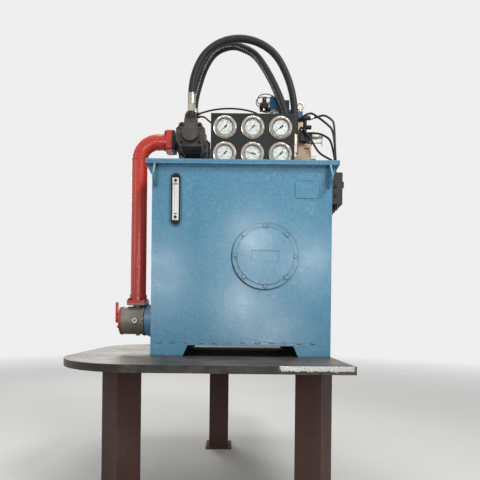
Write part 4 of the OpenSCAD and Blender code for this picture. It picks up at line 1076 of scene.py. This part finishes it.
def hose_points(before, after, closing, start, end):
    """Points of an arched hose in its own upright plane, from start down to end."""
    flat = (end - start).to_2d()
    rest = flat.length - sum(arc_step(a, a[2])[0] for a in before + after)
    h0, h1 = (math.radians(h) for h in closing)
    radius = rest / (math.sin(h0) - math.sin(h1)) / MM
    x = z = 0.0
    points = [(0.0, 0.0)]
    for arc in before + [(radius, *closing)] + after:
        count = max(3, int(abs(arc[1] - arc[2]) / 2.0))
        for k in range(1, count + 1):
            dx, dz = arc_step(arc, arc[1] - k * (arc[1] - arc[2]) / count)
            points.append((x + dx, z + dz))
        x, z = x + dx, z + dz
    points += [(flat.length, z + (end.z - start.z - z) * k / 8) for k in range(1, 9)]
    way = flat.normalized()
    return [start + Vector((way.x * p, way.y * p, q)) for p, q in points]


def set_in(points, knots):
    """The points of an arched hose, moved to its inner side by smooth steps between knots."""
    lengths = [0.0]
    for a, b in zip(points, points[1:]):
        lengths.append(lengths[-1] + (b - a).length)
    across = (points[-1] - points[0]).to_2d().normalized()
    moved = []
    for i, point in enumerate(points):
        share = lengths[i] / lengths[-1]
        (a, low_inset), (b, high_inset) = next(pair for pair in zip(knots, knots[1:])
                                               if share <= pair[1][0] + 1e-6)
        t = (share - a) / (b - a)
        inset = low_inset + (high_inset - low_inset) * t * t * (3 - 2 * t)
        way = points[min(i + 1, len(points) - 1)] - points[max(i - 1, 0)]
        inward = Vector((across.x * way.z, across.y * way.z, -way.to_2d().dot(across)))
        moved.append(point + inward.normalized() * inset)
    return moved


class POWERUNIT_OT_hoses(bpy.types.Operator):
    """Arched pressure hoses with their ferrules, and the thin lines and cables."""

    bl_idname = "power_unit.hoses"
    bl_label = "Hoses and cables"

    def execute(self, context):
        lo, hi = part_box("outlet_flanges")
        top, bottom = high("hose_fittings").z, low("arch_hose_front").z
        rings = Shape()
        for hose, y, skin in zip(HOSES, (lo.y + OUTLET, hi.y - OUTLET),
                                 (sizes().front_skin, sizes().rear_skin)):
            name, before, after, closing, turn, twist, ferrule, knots = hose
            start = Vector(((lo.x + hi.x) / 2, y, top))
            end = Vector((high(name).x - sizes().hose, END_Y, bottom))
            cover = Shape()
            cover.tube(set_in(hose_points(before, after, closing, start, end), knots), skin, 28,
                       UP, (0, 0, -1), turn=math.radians(turn), twist=math.radians(twist))
            cover.piece(name + "_skin", "hose_rubber", replaces=(name,))
            for x, y, z in (start, end):
                z -= FERRULE_LEN
                crimps = [(z + 0.010 + k * 0.0075, CRIMP) for k in range(6)]
                for foot, profile in [(z, FERRULE), *crimps, (z + FERRULE_LEN - 0.005, LIP)]:
                    rings.lathe((x, y, foot), UP, [(ferrule + r, h) for r, h in profile], 36)
        rings.piece("ferrule_crimps", "zinc", sharp=30)

        lines = Shape()
        for route in LINES:
            lines.through(route, sizes().line, 12)
        lines.piece("gauge_line_skins", "cable_black", "hose_rubber", replaces=("gauge_lines",))
        cables = Shape()
        x, y, z = CABLE_END
        for i, route in enumerate(CABLES):
            down = [(x, y + (i - 1.5) * 11, z + h) for h in (84, 34, 0)]
            cables.through(route + down, sizes().cable, 12, ease=14,
                           swell=lambda a, b: 1.0 + 0.3 * min(1.0, a / 4, b / 12))
        cables.piece("valve_cable_skins", "cable_black", "hose_rubber",
                     replaces=("valve_cables",))
        return {"FINISHED"}


def gauge_places():
    """Middle of each gauge's flange on the panel, lower row first."""
    lo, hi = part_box("gauge_cases")
    flange = 0.067
    for z in (lo.z + flange, hi.z - flange):
        for x in (lo.x + flange, (lo.x + hi.x) / 2, hi.x - flange):
            yield Vector((x, low("gauge_panel").y, z))


def text_mesh(shape, words, place, size):
    """Adds plain numbers to a shape, facing -Y, centred on place."""
    data = bpy.data.curves.new("numbers", "FONT")
    data.body = words
    data.size = size
    data.align_x = "CENTER"
    data.align_y = "CENTER"
    data.extrude = 0.0002
    holder = bpy.data.objects.new("numbers", data)
    mesh = bpy.data.meshes.new_from_object(holder)
    mesh.transform(Matrix.Translation(place) @ Matrix.Rotation(math.radians(90), 4, "X"))
    shape.bm.from_mesh(mesh)
    bpy.data.objects.remove(holder)
    bpy.data.curves.remove(data)
    bpy.data.meshes.remove(mesh)


def raised(corners, depth):
    """Both outlines of a flat mark that stands out to the front."""
    return [corners, [c + Vector(FRONT) * depth for c in corners]]


class POWERUNIT_OT_gauges(bpy.types.Operator):
    """Bezels, glasses, dial marks, numbers and screws of the six gauges."""

    bl_idname = "power_unit.gauges"
    bl_label = "Gauges"

    def execute(self, context):
        dial = sizes().dial
        bezels, rims, seal_and_shade_rings, glasses, screws, ink = (Shape() for _ in range(6))
        for i, place in enumerate(gauge_places()):
            depth = place.y - low("gauge_cases").y
            bezels.lathe(place, FRONT, [
                (dial + 0.0068, 0.002), (dial + 0.0074, 0.004), (dial + 0.0074, depth - 0.003),
                (dial + 0.0060, depth - 0.0008), (dial + 0.0035, depth),
                (dial + 0.0012, depth - 0.0010), (dial + 0.0005, depth - 0.0030),
                (dial + 0.0002, 0.0052), (dial + 0.0008, 0.0050), (dial + 0.0068, 0.002)], 72)
            rims.lathe(place, FRONT, [
                (0.0650, 0.0026), (0.0665, 0.0031), (0.0668, 0.0040), (0.0655, 0.0046),
                (0.0632, 0.0038), (0.0610, 0.0029), (0.0650, 0.0026)], 72)
            # A dark ring inside the bezel, over the dial's edge, is painted shade where the
            # bezel's shade falls on the dial
            seal_and_shade_rings.lathe(place, FRONT, [
                (dial - 0.0001, depth - 0.0012), (dial - 0.0030, depth - 0.0022),
                (dial - 0.0032, depth - 0.0030), (dial - 0.0001, depth - 0.0030),
                (dial - 0.0001, depth - 0.0012)], 64)
            glasses.lathe(place, FRONT, [
                (0, depth - 0.0046), (dial - 0.0002, depth - 0.0046),
                (dial - 0.0002, depth - 0.0030), (0, depth - 0.0026)], 64)
            for angle in (90, 210, 330):
                across, up = polar(0.0612, angle)
                screws.lathe(place + Vector((across, -0.0028, up)), FRONT,
                             [(0, 0), (0.0042, 0), (0.0042, 0.0012), (0.0030, 0.0026),
                              (0.0010, 0.0030), (0, 0.0030)], 20)
            face = Vector((place.x, high("gauge_dials").y - 0.0015, place.z))
            self.dial_marks(ink, face, dial, 60 if i == 1 else 40)
        bezels.piece("gauge_bezels", "stainless", sharp=30)
        rims.piece("gauge_flange_rims", "stainless", sharp=30)
        glasses.piece("gauge_glasses", "gauge_glass", "stainless", sharp=30)
        screws.piece("gauge_screws", "zinc", sharp=30)
        seal_and_shade_rings.piece("gauge_shade_rings", "gauge_shade", "stainless", sharp=30)
        ink.piece("dial_marks", "dial_ink", "pointer_black", sharp=10)
        return {"FINISHED"}

    def dial_marks(self, ink, centre, dial, scale):
        """Ticks on an arc of 270 degrees, with plain numbers inside them."""
        first, sweep, arc_steps = 225, 270, 64
        count = sizes().ticks
        for t in range(count + 1):
            across, up = polar(1.0, first - sweep * t / count)
            out = Vector((across, 0, up)) * dial
            major = t % 10 == 0
            side = Vector((-up, 0, across)) * (0.0012 if major else 0.0007) / 2
            near = centre + out * (0.78 if major else 0.83 if t % 5 == 0 else 0.86)
            far = centre + out * 0.92
            ink.rings(raised([near - side, near + side, far + side, far - side], 0.00025))
            if major:
                text_mesh(ink, str(scale * t // count),
                          centre + out * 0.62 + Vector(FRONT) * 0.0002, 0.0098)
        # Fine arc through the ticks' feet
        for t in range(arc_steps):
            quad = []
            for k, r in ((0, 0.865), (0, 0.872), (1, 0.872), (1, 0.865)):
                across, up = polar(dial * r, first - sweep * (t + k) / arc_steps)
                quad.append(centre + Vector((across, 0, up)))
            ink.rings(raised(quad, 0.0002))


class POWERUNIT_OT_panel(bpy.types.Operator):
    """Screws of the gauge panel, and screws and plugs of the terminal box."""

    bl_idname = "power_unit.panel"
    bl_label = "Panel and terminal box"

    def execute(self, context):
        lo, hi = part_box("gauge_panel")
        screws, plugs = Shape(), Shape()
        for x in (lo.x + 0.014, hi.x - 0.014):
            for z in (lo.z + 0.165, hi.z - 0.014):
                screws.socket_bolt((x, lo.y, z), FRONT, 0.0055, 0.004)
        lo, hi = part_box("terminal_box")
        for y in (lo.y + 0.014, hi.y - 0.014):
            for z in (lo.z + 0.014, hi.z - 0.014):
                screws.socket_bolt((hi.x + 0.008, y, z), RIGHT, 0.0045, 0.003)
        screws.socket_bolt((hi.x + 0.011, lo.y, hi.z - 0.062), FRONT, 0.0035, 0.0015)
        for z in (hi.z - 0.084, hi.z - 0.135):
            plugs.lathe((lo.x + 0.028, lo.y, z), FRONT,
                        [(0, 0.0004), (0.0070, 0.0004), (0.0078, 0.0016), (0.0098, 0.0016),
                         (0.0102, 0.0008), (0.0102, 0), (0, 0)], 28)
        screws.piece("panel_screws", "black_bolt", "black_iron", sharp=30)
        plugs.piece("terminal_box_plugs", "plug_black", "black_iron", sharp=30)
        return {"FINISHED"}


class POWERUNIT_OT_valves(bpy.types.Operator):
    """Wires, nuts, screws and the blank plate of the valve group."""

    bl_idname = "power_unit.valves"
    bl_label = "Valve group"

    def execute(self, context):
        coil_lo, coil_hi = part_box("valve_coils")
        valve_lo, valve_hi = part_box("solenoid_valve")
        axis_y, axis_z = middle("valve_coils").y, coil_lo.z + 0.027
        wires, glands, nuts = Shape(), Shape(), Shape()
        for route in WIRES:
            wires.through(route, sizes().wire, 10)
        for y, z in ((-0.050, 2.300), (-0.042, 2.294)):
            glands.lathe((coil_lo.x + 0.0145, y, z), LEFT, stud(0.0062, 0.011, 0.0017, 0.005),
                         18)
        for x, y in ((0.396, -0.050), (0.380, -0.040)):
            glands.lathe((x, y, valve_hi.z - 0.0005), UP, stud(0.0062, 0.008, 0.0020, 0.004),
                         18)
        wires.piece("valve_wires", "cable_black", "hose_rubber")
        glands.piece("valve_wire_glands", "plug_black", "black_iron", sharp=30)

        nuts.lathe((coil_lo.x + 0.0005, axis_y, axis_z), LEFT,
                   [(0, 0), (0.0125, 0), (0.0125, 0.004), (0.0112, 0.0056), (0.0060, 0.0056),
                    (0.0055, 0.0048), (0, 0.0048)], 24)
        nuts.lathe((coil_hi.x - 0.008, axis_y, axis_z), RIGHT,
                   [(0.0268, 0), (0.0284, 0.001), (0.0284, 0.005), (0.0268, 0.006),
                    (0.0268, 0)], 40)
        nuts.hex_bolt((0.3225, -0.0655, coil_lo.z + 0.006), (0, -1, -0.4), 0.011, 0.006)
        nuts.hex_bolt((0.3520, -0.0735, coil_lo.z + 0.042), (0, -1, 0.3), 0.010, 0.006)
        lo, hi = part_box("relief_valves")
        for z in (lo.z + 0.012, lo.z + 0.060):
            nuts.socket_bolt((hi.x - 0.012, lo.y + 0.030, z), FRONT, 0.0048, 0.004)
        nuts.piece("valve_nuts", "zinc", sharp=30)

        screws, heads, plate = Shape(), Shape(), Shape()
        screws.socket_bolt((0.3285, axis_y - 0.020, coil_hi.z - 0.009), FRONT, 0.0045, 0.003)
        screws.socket_bolt((0.3250, axis_y, coil_hi.z), UP, 0.0045, 0.003)
        screws.piece("valve_plug_screws", "raw_steel", sharp=30)
        for x in (valve_lo.x + 0.011, valve_lo.x + 0.052):
            for y in (axis_y - 0.024, axis_y + 0.024):
                heads.socket_bolt((x, y, valve_hi.z), UP, 0.0050, 0.005)
        heads.piece("valve_bolts", "black_bolt", "black_iron", sharp=30)
        plate.box((0.377, valve_lo.y - 0.0010, 2.2195), (0.411, valve_lo.y + 0.0002, 2.2325),
                  0.0004)
        plate.piece("valve_plate", "level_white", sharp=30)
        return {"FINISHED"}


class POWERUNIT_OT_stage(bpy.types.Operator):
    """Pale floor, soft lamps, even room light and the camera."""

    bl_idname = "power_unit.stage"
    bl_label = "Stage"

    def execute(self, context):
        scene, s = context.scene, studio()
        self.make_floor(scene, s)
        self.make_room(scene, s)
        aim = Vector((0.2, 0.0, 1.3))
        # Each lamp's place, width, height and power
        for name, place, wide, tall, power in (
                ("key_lamp", (2.2, -3.0, 4.6), 1.5, 1.5, s.key),
                ("fill_lamp", (-3.6, -2.6, 2.6), 2.4, 2.4, s.fill),
                ("top_lamp", (0.3, 0.2, 5.4), 2.8, 2.8, s.fill * 2.6),
                ("back_lamp", (-1.6, 3.9, 3.4), 2.4, 2.4, s.fill * 3.4),
                ("glow_left", (-0.81, -3.60, 1.55), 0.22, 0.80, s.glow),
                ("glow_high", (0.40, -3.60, 2.02), 0.36, 0.60, s.glow * 1.1),
                ("glow_middle", (0.27, -3.60, 1.15), 0.22, 0.50, s.glow * 0.9),
                ("glow_right", (1.20, -3.60, 1.75), 0.34, 0.60, s.glow * 0.8),
                ("glow_low", (0.74, -3.60, 0.81), 0.40, 0.26, s.glow * 0.6)):
            lamp = bpy.data.lights.new(name, "AREA")
            lamp.shape = "ELLIPSE"
            lamp.size, lamp.size_y = wide, tall
            lamp.energy = power
            lamp.color = (1.0, 0.985, 0.96)
            holder = bpy.data.objects.new(name, lamp)
            holder.location = place
            holder.rotation_mode = "QUATERNION"
            holder.rotation_quaternion = (aim - Vector(place)).to_track_quat("-Z", "Y")
            scene.collection.objects.link(holder)
        camera = bpy.data.cameras.new("camera")
        camera.sensor_width = 36.0
        camera.lens = s.lens
        # Shifts as pixels of a picture 480 wide
        camera.shift_x, camera.shift_y = 11 / 480, 79 / 480
        camera.clip_start, camera.clip_end = 0.05, 200.0
        holder = bpy.data.objects.new("camera", camera)
        holder.location = s.camera
        holder.rotation_euler = (math.radians(90), -s.roll, 0.0)
        scene.collection.objects.link(holder)
        scene.camera = holder
        scene.view_settings.view_transform = "Standard"
        return {"FINISHED"}

    def make_floor(self, scene, s):
        """A round floor that fades into the room's own white far from the unit."""
        net = new_material("studio_floor", s.floor)
        spot = net.place()
        tone = net.blend(net.spread(net.noise(spot, 3.0, 4.0, 0.6), 0.3, 0.7, 0.0, 0.35),
                         s.floor, scaled(s.floor, 0.96))
        reach = net.add("VectorMath", {"operation": "LENGTH"}, Vector=spot).outputs["Value"]
        shader = net.add("BsdfPrincipled", Base_Color=tone, Roughness=0.75,
                         Alpha=net.spread(reach, 3.0, 9.0, 1.0, 0.0))
        net.end("Material", shader.outputs[0])
        shape = bmesh.new()
        bmesh.ops.create_circle(shape, cap_ends=True, segments=96, radius=10.0)
        mesh = bpy.data.meshes.new("studio_floor")
        shape.to_mesh(mesh)
        shape.free()
        mesh.materials.append(MATERIALS["studio_floor"])
        floor = bpy.data.objects.new("studio_floor", mesh)
        floor.location.z = -0.0005
        scene.collection.objects.link(floor)

    def make_room(self, scene, s):
        """White to the camera and in reflections, softer as a light."""
        world = scene.world = bpy.data.worlds.new("studio_room")
        world.use_nodes = True
        net = Net(world.node_tree)
        path = net.add("LightPath").outputs
        seen = net.math("MAXIMUM", path["Is Camera Ray"],
                        net.math("MAXIMUM", path["Is Glossy Ray"], path["Is Transmission Ray"]))
        light = net.add("Background", Color=(1.0, 1.0, 1.0),
                        Strength=net.spread(seen, 0.0, 1.0, s.sky, s.room))
        net.end("World", light.outputs[0])


STEPS = (POWERUNIT_OT_finishes, POWERUNIT_OT_edges, POWERUNIT_OT_table, POWERUNIT_OT_tank,
         POWERUNIT_OT_level_gauge, POWERUNIT_OT_suction, POWERUNIT_OT_pump,
         POWERUNIT_OT_hoses, POWERUNIT_OT_gauges, POWERUNIT_OT_panel,
         POWERUNIT_OT_valves, POWERUNIT_OT_stage)


class POWERUNIT_PT_sidebar(bpy.types.Panel):
    """Lists the unit's steps and values."""

    bl_idname = "POWERUNIT_PT_sidebar"
    bl_label = "Power Unit"
    bl_space_type = "VIEW_3D"
    bl_region_type = "UI"
    bl_category = "Power Unit"

    def draw(self, context):
        column = self.layout.column(align=True)
        for step in STEPS:
            column.operator(step.bl_idname)
        for values in (paints(), sizes(), studio()):
            box = self.layout.box()
            for name in values.__annotations__:
                box.prop(values, name)


CLASSES = (PowerUnitPaints, PowerUnitSizes, PowerUnitStudio, *STEPS, POWERUNIT_PT_sidebar)


def register():
    for cls in CLASSES:
        bpy.utils.register_class(cls)
    bpy.types.Scene.power_unit_paints = PointerProperty(type=PowerUnitPaints)
    bpy.types.Scene.power_unit_sizes = PointerProperty(type=PowerUnitSizes)
    bpy.types.Scene.power_unit_studio = PointerProperty(type=PowerUnitStudio)


def unregister():
    del bpy.types.Scene.power_unit_studio
    del bpy.types.Scene.power_unit_sizes
    del bpy.types.Scene.power_unit_paints
    for cls in reversed(CLASSES):
        bpy.utils.unregister_class(cls)


def main():
    register()
    for step in STEPS:
        getattr(bpy.ops.power_unit, step.bl_idname.split(".")[1])()


if __name__ == "__main__":
    main()
